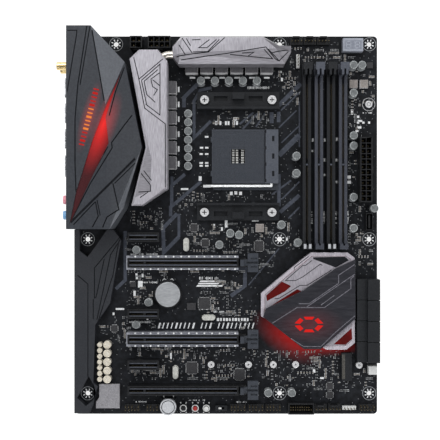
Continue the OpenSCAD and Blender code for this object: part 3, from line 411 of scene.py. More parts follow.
def dress(node, mat, bevel=0.2, body="root", more=(), rule=None, segments=2):
    """The CAD node's shape with merged faces, softened edges and a finish. more holds further finishes
    for a rule to pick, as in paint()."""
    obj = merged(node, node + "_look")
    for each in (mat, *more):
        obj.data.materials.append(each)
    if rule:
        paint(obj, rule)
    smooth(obj)
    rounded(obj, bevel, segments)
    return settle(obj, SLOT_OF[node], body, (node,))


def top_of(node):
    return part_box(node)[1].z / MM


def surface(obj, default):
    """A function for the height of the object's upper face over a place, in millimetres."""
    tree = BVHTree.FromPolygons([v.co.copy() for v in obj.data.vertices],
                                [list(p.vertices) for p in obj.data.polygons])

    def level(x, y):
        hit = tree.ray_cast(Vector((x * MM, y * MM, 0.1)), Vector((0, 0, -1)))[0]
        return hit.z / MM if hit is not None else default

    return level


def seen(x, y, rise):
    """The place of a point that stands rise above the board and, from the camera, covers (x, y) on it."""
    share = (EYE_RISE - rise) / EYE_RISE
    return EYE[0] + (x - EYE[0]) * share, EYE[1] + (y - EYE[1]) * share


def all_seen(line, level):
    """seen() for the points of a line on a level face."""
    return [seen(x, y, level - TOP) for x, y in line]


def on_face(line, level, high):
    """seen() for the points of a line on a face whose height changes along it."""
    places = []
    for over_x, over_y in line:
        x, y = seen(over_x, over_y, high - TOP)
        for _ in range(2):
            x, y = seen(over_x, over_y, level(x, y) - TOP)
        places.append((x, y))
    return places


def bake(obj):
    """Makes the outcome of the object's modifiers its own plain mesh."""
    got = bpy.data.meshes.new_from_object(obj.evaluated_get(bpy.context.evaluated_depsgraph_get()))
    obj.modifiers.clear()
    obj.data = got
    got.name = obj.name


def cut(obj, tool):
    """Takes the tool's shape out of the object, keeping the tool's finish on the new faces."""
    before = len(obj.data.vertices)
    mod = obj.modifiers.new("cut", "BOOLEAN")
    mod.operation = "DIFFERENCE"
    mod.solver = "EXACT"
    mod.use_self = True
    mod.material_mode = "TRANSFER"
    mod.object = tool
    bake(obj)
    if len(obj.data.vertices) <= before:
        raise RuntimeError(f"the grooves of {obj.name} cut nothing")
    bpy.data.objects.remove(tool, do_unlink=True)


# ---------- repeated shapes ----------
def node_tree(name, sockets):
    tree = bpy.data.node_groups.new(name, "GeometryNodeTree")
    tree.interface.new_socket("Geometry", in_out="INPUT", socket_type="NodeSocketGeometry")
    for label, kind in sockets:
        tree.interface.new_socket(label, in_out="INPUT", socket_type=kind)
    tree.interface.new_socket("Geometry", in_out="OUTPUT", socket_type="NodeSocketGeometry")
    return tree, tree.nodes.new("NodeGroupInput"), tree.nodes.new("NodeGroupOutput")


def place_copies(tree, start, end, points, turn):
    """Puts the shape on the points, turned about Z, and makes real, painted geometry of it."""
    info = tree.nodes.new("GeometryNodeObjectInfo")
    spread = tree.nodes.new("GeometryNodeInstanceOnPoints")
    axis = tree.nodes.new("ShaderNodeCombineXYZ")
    real = tree.nodes.new("GeometryNodeRealizeInstances")
    paint = tree.nodes.new("GeometryNodeSetMaterial")
    for source, target in (
            (start.outputs["Shape"], info.inputs["Object"]), (points, spread.inputs["Points"]),
            (info.outputs["Geometry"], spread.inputs["Instance"]), (turn, axis.inputs["Z"]),
            (axis.outputs["Vector"], spread.inputs["Rotation"]),
            (spread.outputs["Instances"], real.inputs["Geometry"]),
            (real.outputs["Geometry"], paint.inputs["Geometry"]),
            (start.outputs["Finish"], paint.inputs["Material"]),
            (paint.outputs["Geometry"], end.inputs["Geometry"])):
        tree.links.new(source, target)


def row_tree():
    """Copies a shape to every vertex, turned by the vertex attribute called turn."""
    tree, start, end = node_tree("copies_on_points", [
        ("Shape", "NodeSocketObject"), ("Finish", "NodeSocketMaterial")])
    turn = tree.nodes.new("GeometryNodeInputNamedAttribute")
    turn.data_type = "FLOAT"
    turn.inputs["Name"].default_value = "turn"
    place_copies(tree, start, end, start.outputs["Geometry"], turn.outputs["Attribute"])
    return tree


def scatter_tree():
    """Copies a shape to scattered places on faces, each turned by a whole number of quarter turns."""
    tree, start, end = node_tree("scattered_copies", [
        ("Shape", "NodeSocketObject"), ("Finish", "NodeSocketMaterial"), ("Spacing", "NodeSocketFloat"),
        ("Density", "NodeSocketFloat"), ("Seed", "NodeSocketInt")])
    places = tree.nodes.new("GeometryNodeDistributePointsOnFaces")
    places.distribute_method = "POISSON"
    pick = tree.nodes.new("FunctionNodeRandomValue")
    pick.data_type = "INT"
    pick.inputs[4].default_value = 0
    pick.inputs[5].default_value = 3
    quarter = tree.nodes.new("ShaderNodeMath")
    quarter.operation = "MULTIPLY"
    quarter.inputs[1].default_value = math.pi / 2
    link = tree.links.new
    link(start.outputs["Geometry"], places.inputs["Mesh"])
    link(start.outputs["Spacing"], places.inputs["Distance Min"])
    link(start.outputs["Density"], places.inputs["Density Max"])
    link(start.outputs["Seed"], places.inputs["Seed"])
    link(start.outputs["Seed"], pick.inputs["Seed"])
    link(pick.outputs[2], quarter.inputs[0])
    place_copies(tree, start, end, places.outputs["Points"], quarter.outputs["Value"])
    return tree


def grown(name, mesh, tree, values):
    """Runs a node tree on a mesh once, keeps the outcome as a plain mesh and drops the shape it copied."""
    obj = linked(name, mesh)
    mod = obj.modifiers.new("copies", "NODES")
    mod.node_group = tree
    for item in tree.interface.items_tree:
        if item.in_out == "INPUT" and item.name in values:
            mod[item.identifier] = values[item.name]
    obj.update_tag()
    bpy.context.view_layer.update()
    bake(obj)
    if not obj.data.polygons:
        raise RuntimeError(f"{name} came out empty")
    bpy.data.meshes.remove(mesh)
    bpy.data.objects.remove(values["Shape"], do_unlink=True)
    return obj


def copies(name, places, shape, mat, slot, body="root", nodes=()):
    """places are (x, y, z, turn) in millimetres and radians; shape is a Solid round the origin."""
    mesh = bpy.data.meshes.new(name + "_places")
    mesh.from_pydata([(p[0] * MM, p[1] * MM, p[2] * MM) for p in places], [], [])
    turn = mesh.attributes.new("turn", "FLOAT", "POINT")
    turn.data.foreach_set("value", [p[3] if len(p) > 3 else 0.0 for p in places])
    thing = shape.make(name + "_shape")
    tree = bpy.data.node_groups.get("copies_on_points") or row_tree()
    obj = grown(name, mesh, tree, {"Shape": thing, "Finish": mat})
    smooth(obj)
    return settle(obj, slot, body, nodes)


def scatter(name, ground, shape, mat, slot, spacing, density, seed):
    """Copies of a shape scattered on rectangles of ground, in millimetres."""
    mesh = bpy.data.meshes.new(name + "_ground")
    verts, faces = [], []
    for x0, y0, x1, y1 in ground:
        base = len(verts)
        verts += [(x * MM, y * MM, TOP * MM) for x, y in ((x0, y0), (x1, y0), (x1, y1), (x0, y1))]
        faces.append((base, base + 1, base + 2, base + 3))
    mesh.from_pydata(verts, [], faces)
    thing = shape.make(name + "_shape")
    tree = bpy.data.node_groups.get("scattered_copies") or scatter_tree()
    obj = grown(name, mesh, tree, {"Shape": thing, "Finish": mat, "Spacing": spacing * MM,
                                   "Density": density, "Seed": seed})
    return settle(obj, slot)


def free_cells(regions, size=1.2, margin=0.5):
    """The cells of a grid in the regions that lie under no CAD part but the bare board."""
    cells = {}
    for x0, y0, x1, y1 in regions:
        for i in range(int(x0 // size), int(x1 // size) + 1):
            for j in range(int(y0 // size), int(y1 // size) + 1):
                cells[(i, j)] = True
    for node, obj in frame["nodes"].items():
        if node in ("circuit_board", "socket_backplate", "solder_tails", "io_light_blade"):
            continue
        mesh = obj.data
        mesh.calc_loop_triangles()
        co = [(v.co.x / MM, v.co.y / MM) for v in mesh.vertices]
        for tri in mesh.loop_triangles:
            a, b, c = (co[i] for i in tri.vertices)
            xs, ys = (a[0], b[0], c[0]), (a[1], b[1], c[1])
            area = abs((b[0] - a[0]) * (c[1] - a[1]) - (c[0] - a[0]) * (b[1] - a[1]))
            low_i, high_i = int((min(xs) - margin) // size), int((max(xs) + margin) // size)
            low_j, high_j = int((min(ys) - margin) // size), int((max(ys) + margin) // size)
            for i in range(low_i, high_i + 1):
                for j in range(low_j, high_j + 1):
                    if (i, j) not in cells:
                        continue
                    small = area < 30.0
                    if small or near_triangle((i + 0.5) * size, (j + 0.5) * size, a, b, c, size):
                        del cells[(i, j)]
    kept, edge, pad_reach = [], 1.5, 6.4
    for i, j in sorted(cells):
        x, y = (i + 0.5) * size, (j + 0.5) * size
        if not (REAR + edge < x < FRONT - edge and NEAR + edge < y < FAR - edge):
            continue
        if any(math.hypot(x - hx, y - hy) < pad_reach for hx, hy in HOLES):
            continue
        kept.append((i * size, j * size, (i + 1) * size, (j + 1) * size))
    return kept


def chip_rows(ground, density, seed):
    """Two lists of places for small parts, which stand side by side in short rows on the free cells."""
    size = ground[0][2] - ground[0][0]
    free = {(round(x0 / size), round(y0 / size)) for x0, y0, _, _ in ground}
    starts = sorted(free)
    pick = random.Random(seed)
    places = ([], [])
    for _ in range(int(len(starts) * (size * MM) ** 2 * density / 3)):
        i, j = pick.choice(starts)
        across, kind, pitch = pick.random() < 0.5, pick.random() < 0.5, pick.choice((1, 1, 2))
        for k in range(pick.randint(1, 7)):
            cell = (i + k * pitch, j) if across else (i, j + k * pitch)
            next_cell = (cell[0], cell[1] + 1) if across else (cell[0] + 1, cell[1])
            if cell not in free or next_cell not in free:
                break
            free -= {cell, next_cell}
            x, y = ((cell[n] + next_cell[n] + 1) * size / 2 for n in (0, 1))
            places[kind].append((x, y, TOP, math.pi / 2 if across else 0.0))
    return places


def near_triangle(x, y, a, b, c, reach):
    """Whether (x, y) lies in the triangle a, b, c or within reach outside all of its sides."""
    turn = 1.0 if (b[0] - a[0]) * (c[1] - a[1]) > (c[0] - a[0]) * (b[1] - a[1]) else -1.0
    for p, q in ((a, b), (b, c), (c, a)):
        dx, dy = q[0] - p[0], q[1] - p[1]
        long = math.hypot(dx, dy) or 1e-9
        if turn * (dx * (y - p[1]) - dy * (x - p[0])) / long < -reach:
            return False
    return True


# ---------- properties ----------
class BoardLook(bpy.types.PropertyGroup):
    """The bare board and what is printed and soldered on it."""

    print_height: FloatProperty(
        name="Print height", description="How far the printed areas stand above the laminate",
        default=0.03 * MM, min=0.0, max=0.2 * MM, unit="LENGTH")
    chip_density: FloatProperty(
        name="Small part density", description="Most small soldered parts on a square metre of crowded board",
        default=100000.0, min=1000.0, max=400000.0)
    seed: IntProperty(name="Seed", description="Seed of the small soldered parts", default=11, min=0, max=999)


class ArmourLook(bpy.types.PropertyGroup):
    """The covers and heatsinks."""

    groove_width: FloatProperty(
        name="Groove width", description="Width of the grooves cut in the covers and heatsinks",
        default=0.8 * MM, min=0.2 * MM, max=2.0 * MM, unit="LENGTH")
    groove_depth: FloatProperty(
        name="Groove depth", description="Depth of the grooves cut in the covers and heatsinks",
        default=0.5 * MM, min=0.1 * MM, max=1.0 * MM, unit="LENGTH")
    glow_colour: FloatVectorProperty(
        name="Glow colour", description="Colour of the lit blade and the lit marks",
        subtype="COLOR", size=3, default=(1.0, 0.018, 0.012), min=0.0, max=1.0)
    glow: FloatProperty(name="Glow", description="Strength of the lit parts", default=0.75, min=0.0, max=20.0)


class StageLook(bpy.types.PropertyGroup):
    """The floor, the lights and the camera."""

    light: FloatProperty(name="Sky", description="Strength of the even light", default=0.22, min=0.0, max=5.0)
    key: FloatProperty(name="Soft lamp", description="Power of the large soft lamp in watts",
                       default=6.4, min=0.0, max=200.0)
    height: FloatProperty(name="Camera height",
                          description="Height of the camera above the board's underside",
                          default=(EYE_RISE + TOP) * MM, min=0.3, max=2.0, unit="LENGTH")
    lens: FloatProperty(name="Lens", description="Focal length of the camera in millimetres", default=63.2,
                        min=20.0, max=200.0)


def board_look():
    return bpy.context.scene.motherboard_board


def armour_look():
    return bpy.context.scene.motherboard_armour


def lit(name="lit_red", share=1.0):
    look = armour_look()
    return finish(name, (0.06, 0.003, 0.003), (0.09, 0.004, 0.004), rough=0.45, level=0.06,
                  glow=tuple(look.glow_colour), strength=look.glow * share)


# ---------- board ----------
# Printed slate lines: (points, width) in millimetres
BANDS = [
    ([(68.0, 151.5), (68.0, 175.2)], 2.2),
    ([(78.5, 177.0), (67.8, 167.8), (67.8, 150.5)], 2.6),
    ([(91.5, 171.0), (66.9, 150.4), (66.9, 143.0)], 2.6),
    ([(88.7, 249.9), (77.7, 238.9), (77.7, 231.0)], 3.0),
    ([(100.0, 246.9), (91.0, 244.9), (85.8, 236.0), (85.8, 206.5), (99.4, 219.9)], 2.4),
    ([(72.2, 145.2), (60.8, 133.3), (61.4, 113.9), (73.6, 126.3)], 3.0),
    ([(73.6, 145.0), (73.6, 126.0)], 2.2),
    ([(30.2, 131.0), (30.2, 91.4), (22.6, 84.3)], 2.6),
    ([(133.9, 226.9), (122.6, 217.4)], 1.6),
    ([(137.8, 226.9), (125.0, 213.4)], 1.6),
    ([(143.4, 226.4), (135.8, 215.2)], 1.2),
    ([(148.5, 227.0), (148.5, 218.2)], 3.2),
    ([(154.2, 227.4), (154.2, 219.0)], 2.8),
    ([(168.7, 228.6), (154.4, 214.6)], 1.0),
    ([(171.3, 216.6), (156.4, 202.4)], 1.0),
    ([(171.0, 208.6), (154.4, 192.2)], 4.2),
    ([(170.9, 236.0), (170.9, 199.0)], 1.0),
    ([(172.0, 250.0), (150.5, 229.0)], 3.4),
    ([(172.0, 244.0), (156.0, 228.5)], 1.2),
    ([(154.4, 177.0), (154.4, 151.0)], 2.8),
    ([(164.2, 172.0), (148.6, 160.4)], 1.4),
    ([(171.0, 171.0), (157.0, 157.0)], 1.2),
    ([(171.0, 160.0), (155.2, 146.2)], 3.0),
    ([(171.0, 150.4), (162.0, 141.2)], 1.2),
    ([(154.5, 117.0), (129.8, 87.4)], 1.0),
    ([(115.5, 100.6), (127.0, 100.6), (127.0, 87.0), (115.5, 78.5)], 3.0),
    ([(180.0, 205.0), (180.0, 214.0)], 0.8),
]

# Crowded areas of the board, as rectangles in millimetres
CROWDED = [
    (79, 98, 150, 138), (33, 66, 64, 100), (72, 146, 100, 162), (95, 145, 150, 168),
    (33, 8, 128, 42), (120, 40, 140, 66), (150, 230, 176, 262), (150, 250, 215, 284),
    (160, 100, 232, 140), (33, 133, 60, 150), (28, 105, 60, 125), (100, 215, 152, 236),
    (210, 225, 232, 262), (211, 160, 222, 226), (92, 62, 124, 92), (160, 2, 232, 40), (128, 6, 200, 36),
    (33, 38, 60, 62), (10, 40, 32, 62), (208, 140, 232, 160),
]

# Larger pale soldered parts: (x, y, width, depth) in millimetres, the place as for seen()
PADS = [
    (90.8, 173.5, 2.4, 3.6), (91.6, 193.3, 2.7, 1.4), (96.1, 193.3, 2.7, 1.4), (91.6, 186.1, 2.7, 1.4),
    (96.1, 186.1, 2.7, 1.4), (91.6, 183.8, 2.7, 1.4), (96.1, 183.8, 2.7, 1.4), (96.0, 207.2, 2.9, 1.4),
    (91.9, 198.4, 2.7, 1.4), (96.1, 198.4, 2.7, 1.4), (78.2, 165.0, 6.0, 1.5), (115.9, 161.5, 2.3, 2.7),
    (119.6, 161.9, 2.3, 2.7), (123.4, 161.5, 2.3, 2.7), (111.8, 137.6, 2.1, 7.3), (135.3, 140.1, 5.3, 2.6),
    (103.7, 218.3, 1.6, 3.1), (107.1, 218.3, 1.6, 3.1), (111.6, 218.3, 1.6, 3.1), (113.7, 218.3, 1.6, 3.1),
    (118.2, 218.3, 1.6, 3.1), (120.5, 218.3, 1.6, 3.1), (118.8, 221.6, 2.7, 2.6), (155.4, 259.7, 2.7, 1.5),
    (156.8, 253.5, 1.5, 2.7), (181.8, 204.6, 1.5, 2.6), (191.4, 204.6, 1.5, 2.6), (201.1, 205.2, 1.5, 2.6),
    (181.5, 195.8, 1.3, 1.8), (191.2, 188.5, 1.3, 2.4), (200.9, 188.5, 1.3, 2.4), (191.2, 176.4, 1.3, 1.8),
    (200.9, 170.7, 1.3, 2.1), (39.3, 96.0, 1.6, 1.8), (39.6, 93.1, 1.6, 1.9), (44.2, 95.2, 1.5, 2.9),
    (42.4, 88.1, 3.7, 5.3), (37.8, 80.6, 1.8, 4.4), (26.0, 68.1, 6.8, 1.5), (20.8, 64.2, 1.5, 2.1),
    (48.2, 60.8, 1.5, 2.9), (67.2, 30.1, 1.3, 4.8), (102.0, 135.6, 1.5, 2.4), (108.4, 132.7, 1.5, 2.9),
    (160.9, 124.6, 1.5, 2.4), (213.5, 227.3, 1.8, 4.2), (219.9, 220.0, 3.6, 1.6), (217.5, 211.9, 2.4, 1.6),
    (224.8, 199.0, 1.6, 3.2), (226.0, 167.5, 1.3, 2.4), (182.8, 18.0, 1.9, 2.6), (189.2, 12.3, 2.9, 1.5),
    (218.4, 223.4, 1.8, 1.9), (218.4, 218.7, 1.8, 1.8), (222.6, 218.7, 1.9, 1.6), (227.2, 218.7, 1.6, 1.8),
    (219.3, 214.8, 3.4, 1.8), (211.0, 174.7, 3.1, 2.4), (211.0, 170.5, 3.1, 2.4), (206.6, 179.6, 1.3, 1.5),
]

# Printed labels: (x, y, number of strokes, height, whether they run up the board)
LABELS = [
    (34.5, 89.6, 20, 1.9, 0), (89.0, 68.4, 16, 2.0, 0), (90.5, 93.0, 14, 2.2, 0), (102.0, 66.0, 10, 1.6, 0),
    (34.0, 57.5, 16, 1.7, 0), (129.4, 246.9, 16, 1.9, 0), (120.0, 104.2, 8, 1.6, 0),
    (35.0, 112.4, 20, 1.2, 0),
    (181.1, 137.5, 9, 1.5, 1), (190.7, 137.5, 9, 1.5, 1), (200.4, 137.5, 9, 1.5, 1),
    (210.0, 137.5, 9, 1.5, 1),
    (60.2, -5.0, 8, 1.2, 0), (82.0, -5.6, 12, 1.2, 0), (120.0, -7.0, 9, 1.2, 0), (38.0, -6.8, 9, 1.2, 0),
    (222.5, 226.5, 7, 1.2, 0), (216.0, 241.0, 6, 1.2, 1),
]


def slanted(marks, x, y, long, lean, tall, rise):
    """A printed bar that leans to the right."""
    marks.prism([(x, y), (x + long, y), (x + long + lean, y + tall), (x + lean, y + tall)], SUNK, TOP + rise)


class MOTHERBOARD_OT_board(bpy.types.Operator):
    """Finish the laminate, and print its lines, labels and the rings round its mounting holes"""

    bl_idname = "motherboard.board"
    bl_label = "Board and print"

    def execute(self, context):
        rise = board_look().print_height / MM
        board = frame["nodes"]["circuit_board"]
        board.data.materials.clear()
        board.data.materials.append(laminate())
        # Painted red light on the laminate round the chipset's lit parts.
        for centre, size, turn in (((161.5, 45.5), (34.0, 17.0), -0.62), ((190.0, 38.0), (34.0, 9.0), 0.0)):
            halo(laminate(), centre, size, turn, armour_look().glow_colour, armour_look().glow * 0.42)
        bands = Solid()
        for k, (points, width) in enumerate(BANDS):
            bands.ribbon(points, width, SUNK, TOP + rise + 0.002 * k)
        settle(bands.make("board_bands", slate()), "laminate")
        marks = Solid()
        pick = random.Random(5)
        for x, y, count, tall, upright in LABELS:
            for k in range(count):
                if pick.random() < 0.16:
                    continue
                w = pick.choice((0.35, 0.5, 0.8))
                h = tall * pick.choice((0.6, 1.0, 1.0))
                at = k * 1.12
                if upright:
                    marks.centred(x, y + at, h, w, SUNK, TOP + rise)
                else:
                    marks.centred(x + at, y, w, h, SUNK, TOP + rise)
        for k in range(23):
            if k in (9, 13):
                continue
            slanted(marks, 56.5 + 3.45 * k, 52.4, 1.4 if k % 4 == 0 else 0.9, 1.3, 4.6, rise)
        for k, long in enumerate((21.0, 16.5, 19.5)):
            slanted(marks, 87.6 + 1.3 * k, 86.2 + 1.85 * k, long, 0.8, 1.2, rise)
        for k in range(11):
            marks.centred(105.2 + 2.4 * k, 59.6, 1.3 if k % 3 else 2.0, 2.4, SUNK, TOP + rise)
        settle(marks.make("board_labels", silk()), "laminate")
        pads = Solid()
        for x, y, w, d in PADS:
            pads.centred(*seen(x, y, 0.5), w, d, SUNK, TOP + 0.5)
        settle(pads.make("pale_parts", tin()), "tin")
        pads = Solid()
        at = (226.9, 233.4)
        pads.ring(*at, 4.95, 5.25, SUNK, TOP + rise, 36)
        pads.ring(*at, 1.5, 2.85, SUNK, TOP + 0.9, 28)
        pads.disc(*at, 1.1, SUNK, TOP + 0.7, 20)
        settle(pads.make("round_pad", bright_metal()), "tin")
        rings = Solid()
        dots = Solid()
        dot_circle = 3.15
        for x, y in HOLES:
            rings.ring(x, y, 5.15, 5.55, SUNK, TOP + rise, 32)
            for k in range(8):
                a = math.pi * k / 4 + math.pi / 8
                dots.centred(x + dot_circle * math.cos(a), y + dot_circle * math.sin(a), 1.5, 0.75, SUNK,
                             TOP + 0.08, 0, a)
        settle(rings.make("mounting_rings", dim_silk()), "laminate")
        settle(dots.make("mounting_pads", tin()), "tin")
        return {"FINISHED"}


class MOTHERBOARD_OT_small_parts(bpy.types.Operator):
    """Scatter the small soldered parts over the crowded areas of the board"""

    bl_idname = "motherboard.small_parts"
    bl_label = "Small soldered parts"

    def execute(self, context):
        look = board_look()
        ground = free_cells(CROWDED)
        whole = free_cells([(REAR, NEAR, FRONT, FAR)])
        rows = chip_rows(ground, look.chip_density, look.seed)
        tan = finish("ceramic_body", (0.10, 0.085, 0.07), (0.24, 0.21, 0.18), rough=0.5)
        kinds = (("ceramic", 1.7, 0.85, 0.8, tan), ("resistor", 1.4, 0.75, 0.4, black_plastic()))
        for places, (label, long, wide, high, mat) in zip(rows, kinds):
            body, ends = Solid(), Solid()
            body.box(-long / 2 + 0.3, -wide / 2, 0, long / 2 - 0.3, wide / 2, high)
            for s in (-1, 1):
                ends.centred(s * (long / 2 - 0.15), 0, 0.42, wide + 0.06, 0, high + 0.03)
            copies("small_" + label + "_bodies", places, body, mat, "chip_black")
            copies("small_" + label + "_ends", places, ends, solder(), "tin")
        tick = Solid()
        tick.box(-0.7, -0.14, -0.01, 0.7, 0.14, 0.03)
        scatter("printed_ticks", ground, tick, dim_silk(), "laminate", 1.7, look.chip_density * 0.7,
                look.seed + 5)
        dot = Solid()
        dot.disc(0, 0, 0.26, -0.01, 0.03, 8)
        scatter("solder_points", whole, dot, dim_silk(), "laminate", 2.4, look.chip_density * 0.35,
                look.seed + 7)
        return {"FINISHED"}


# ---------- covers ----------
class MOTHERBOARD_OT_rear_cover(bpy.types.Operator):
    """Cut the panel lines into the rear socket cover and light its blade"""

    bl_idname = "motherboard.rear_cover"
    bl_label = "Rear socket cover"

    def execute(self, context):
        look = armour_look()
        width, depth = look.groove_width / MM, look.groove_depth / MM
        cover = merged("io_cover", "io_cover_look")
        high = top_of("io_cover")
        level = surface(cover, high)
        tool = Solid()
        lines = (
            (((-16.5, 293.3), (-8.8, 293.3), (-9.2, 289.2), (-16.7, 243.8)), 0.8),
            (((-0.8, 296.8), (-7.9, 250.2), (-10.3, 222.1), (-10.3, 185.3), (-9.5, 162.6)), 0.9),
            (((1.7, 296.4), (-6.3, 249.1)), 0.8), (((3.4, 293.5), (13.3, 236.2)), 0.9),
            (((29.5, 263.3), (22.4, 243.8), (17.3, 224.3)), 0.7),
            (((37.0, 229.1), (19.2, 202.6), (19.7, 198.3), (2.4, 170.1), (-14.0, 138.4)), 0.9),
            (((16.3, 199.4), (4.0, 177.7)), 0.8),
            (((42.3, 195.8), (19.2, 170.7), (-13.8, 138.0)), 1.7), (((42.5, 192.1), (21.5, 169.5)), 0.8),
            (((20.3, 169.6), (25.1, 148.5), (15.5, 142.4), (11.9, 133.9)), 0.9),
            (((6.2, 154.9), (8.4, 143.1), (3.7, 134.3)), 0.9), (((7.5, 156.1), (10.0, 143.6)), 0.7),
            (((6.2, 154.9), (-11.6, 136.1)), 0.9))
        for line, w in lines:
            tool.ribbon(on_face(line, level, high), max(width, w), -depth, 3.0, 1, level=level, step=3.5)
        marks = Solid()
        bar_count, bar_half, pocket = 15, 2.0, 0.3
        for k in range(bar_count):
            x, y = 12.6 - 0.80 * k, 240.0 - 3.0 * k
            bar, w = [(x - bar_half, y), (x + bar_half, y - 1.0)], 1.7 if k % 3 == 1 else 1.0
            tool.ribbon(bar, w, -pocket, 3.0, 1, level=level, step=1.4)
            marks.ribbon(bar, w, -pocket - 0.1, -0.06, int(4 < k < 11), level=level, step=1.4)
        knife = tool.make("io_cover_grooves", groove(), groove())
        coat = finish("cover_coat", (0.020, 0.0228, 0.029), (0.0275, 0.031, 0.0385), rough=0.45, grain=600.0,
                      level=0.35)
        # Painted light: a paler copy of the coat for the faces that seem to catch more light.
        pale = finish("cover_coat_pale", (0.076, 0.082, 0.094), (0.092, 0.099, 0.113), rough=0.42,
                      grain=600.0, level=0.4)
        # Painted red light from the lit blade, falling on the coat round it.
        for mat in (coat, pale):
            halo(mat, (7.2, 218.8), (30.0, 7.0), math.radians(74), look.glow_colour, look.glow * 0.38)
            halo(mat, (19.0, 213.0), (30.0, 10.0), math.radians(70.5), look.glow_colour, look.glow * 0.5)
        # Painted shade: a darker coat for the inner walls and undersides.
        shaded_inside = finish("cover_inside", (0.012, 0.013, 0.016), (0.018, 0.0195, 0.023), rough=0.5, level=0.3)
        for mat in (coat, pale, shaded_inside):
            cover.data.materials.append(mat)

        def shade(centre, normal):
            """Painted light in the paler coat on the far facet and the side wall; painted shade on the inner
            walls and undersides.
            """
            if normal.x > 0.6 or (normal.x > 0.18 and normal.z > 0.3 and centre.y > 245.0):
                return 1
            return 0 if normal.z > 0.1 or centre.y > 278.0 or centre.x < -9.0 else 2

        paint(cover, shade)
        cut(cover, knife)
        smooth(cover)
        rounded(cover, 0.35)
        settle(cover, SLOT_OF["io_cover"], nodes=("io_cover",))
        blade = merged("io_light_blade", "io_light_blade_look")
        glow = finish("blade_glow", (0.040, 0.009, 0.011), (0.052, 0.012, 0.014), rough=0.45, level=0.1,
                      glow=tuple(look.glow_colour), strength=0.0)
        halo(glow, (18.0, 213.0), (43.0, 11.0), math.radians(70.5), look.glow_colour, look.glow * 1.15)
        blade.data.materials.append(glow)
        smooth(blade)
        settle(blade, SLOT_OF["io_light_blade"], nodes=("io_light_blade",))
        amber = finish("lit_amber", (0.10, 0.02, 0.01), rough=0.4, level=0.1, glow=(1.0, 0.27, 0.03),
                       strength=look.glow * 0.95)
        settle(marks.make("cover_lit_marks", lit("lit_mark", 0.55), amber), SLOT_OF["io_light_blade"])
        return {"FINISHED"}


def sink_metal(name, base, other, rough=0.42, streak=(1.0, 14.0, 1.0), bump=0.05):
    """Brushed metal of the power heatsinks, in one of its tones; the darker tones are painted shade."""
    return finish(name, base, other, rough=rough, metal=0.4, grain=160.0, streak=streak, bump=bump)


def engraved(node, mats, bevel, lines, share, rule=None, follow=False, patch=None):
    """A dressed node with grooves cut in its top, along lines that are given as for seen(), share of the
    usual groove wide. follow lets them keep to a sloping face. patch is the outline of an area sunk a
    little below the top, and the painted-shade finish it takes."""
    look = armour_look()
    width, depth, top = look.groove_width / MM * share, look.groove_depth / MM, top_of(node)
    obj = merged(node, node + "_look")
    tool = Solid()
    mark = len(mats)
    level = surface(obj, top)
    for line in lines:
        if follow:
            tool.ribbon(on_face(line, level, top), width, -depth, 3.0, mark, level=level, step=3.5)
        else:
            tool.ribbon(all_seen(line, top), width, top - depth, top + 3.0, mark)
    fill = [groove()] * (mark + 1)
    if patch:
        tool.prism(all_seen(patch[0], top), top - 0.12, top + 2.9, mark + 1)
        fill.append(patch[1])
    knife = tool.make(node + "_grooves", *fill)
    for mat in mats:
        obj.data.materials.append(mat)
    if rule:
        paint(obj, rule)
    cut(obj, knife)
    smooth(obj)
    rounded(obj, bevel)
    return settle(obj, SLOT_OF[node], nodes=(node,))


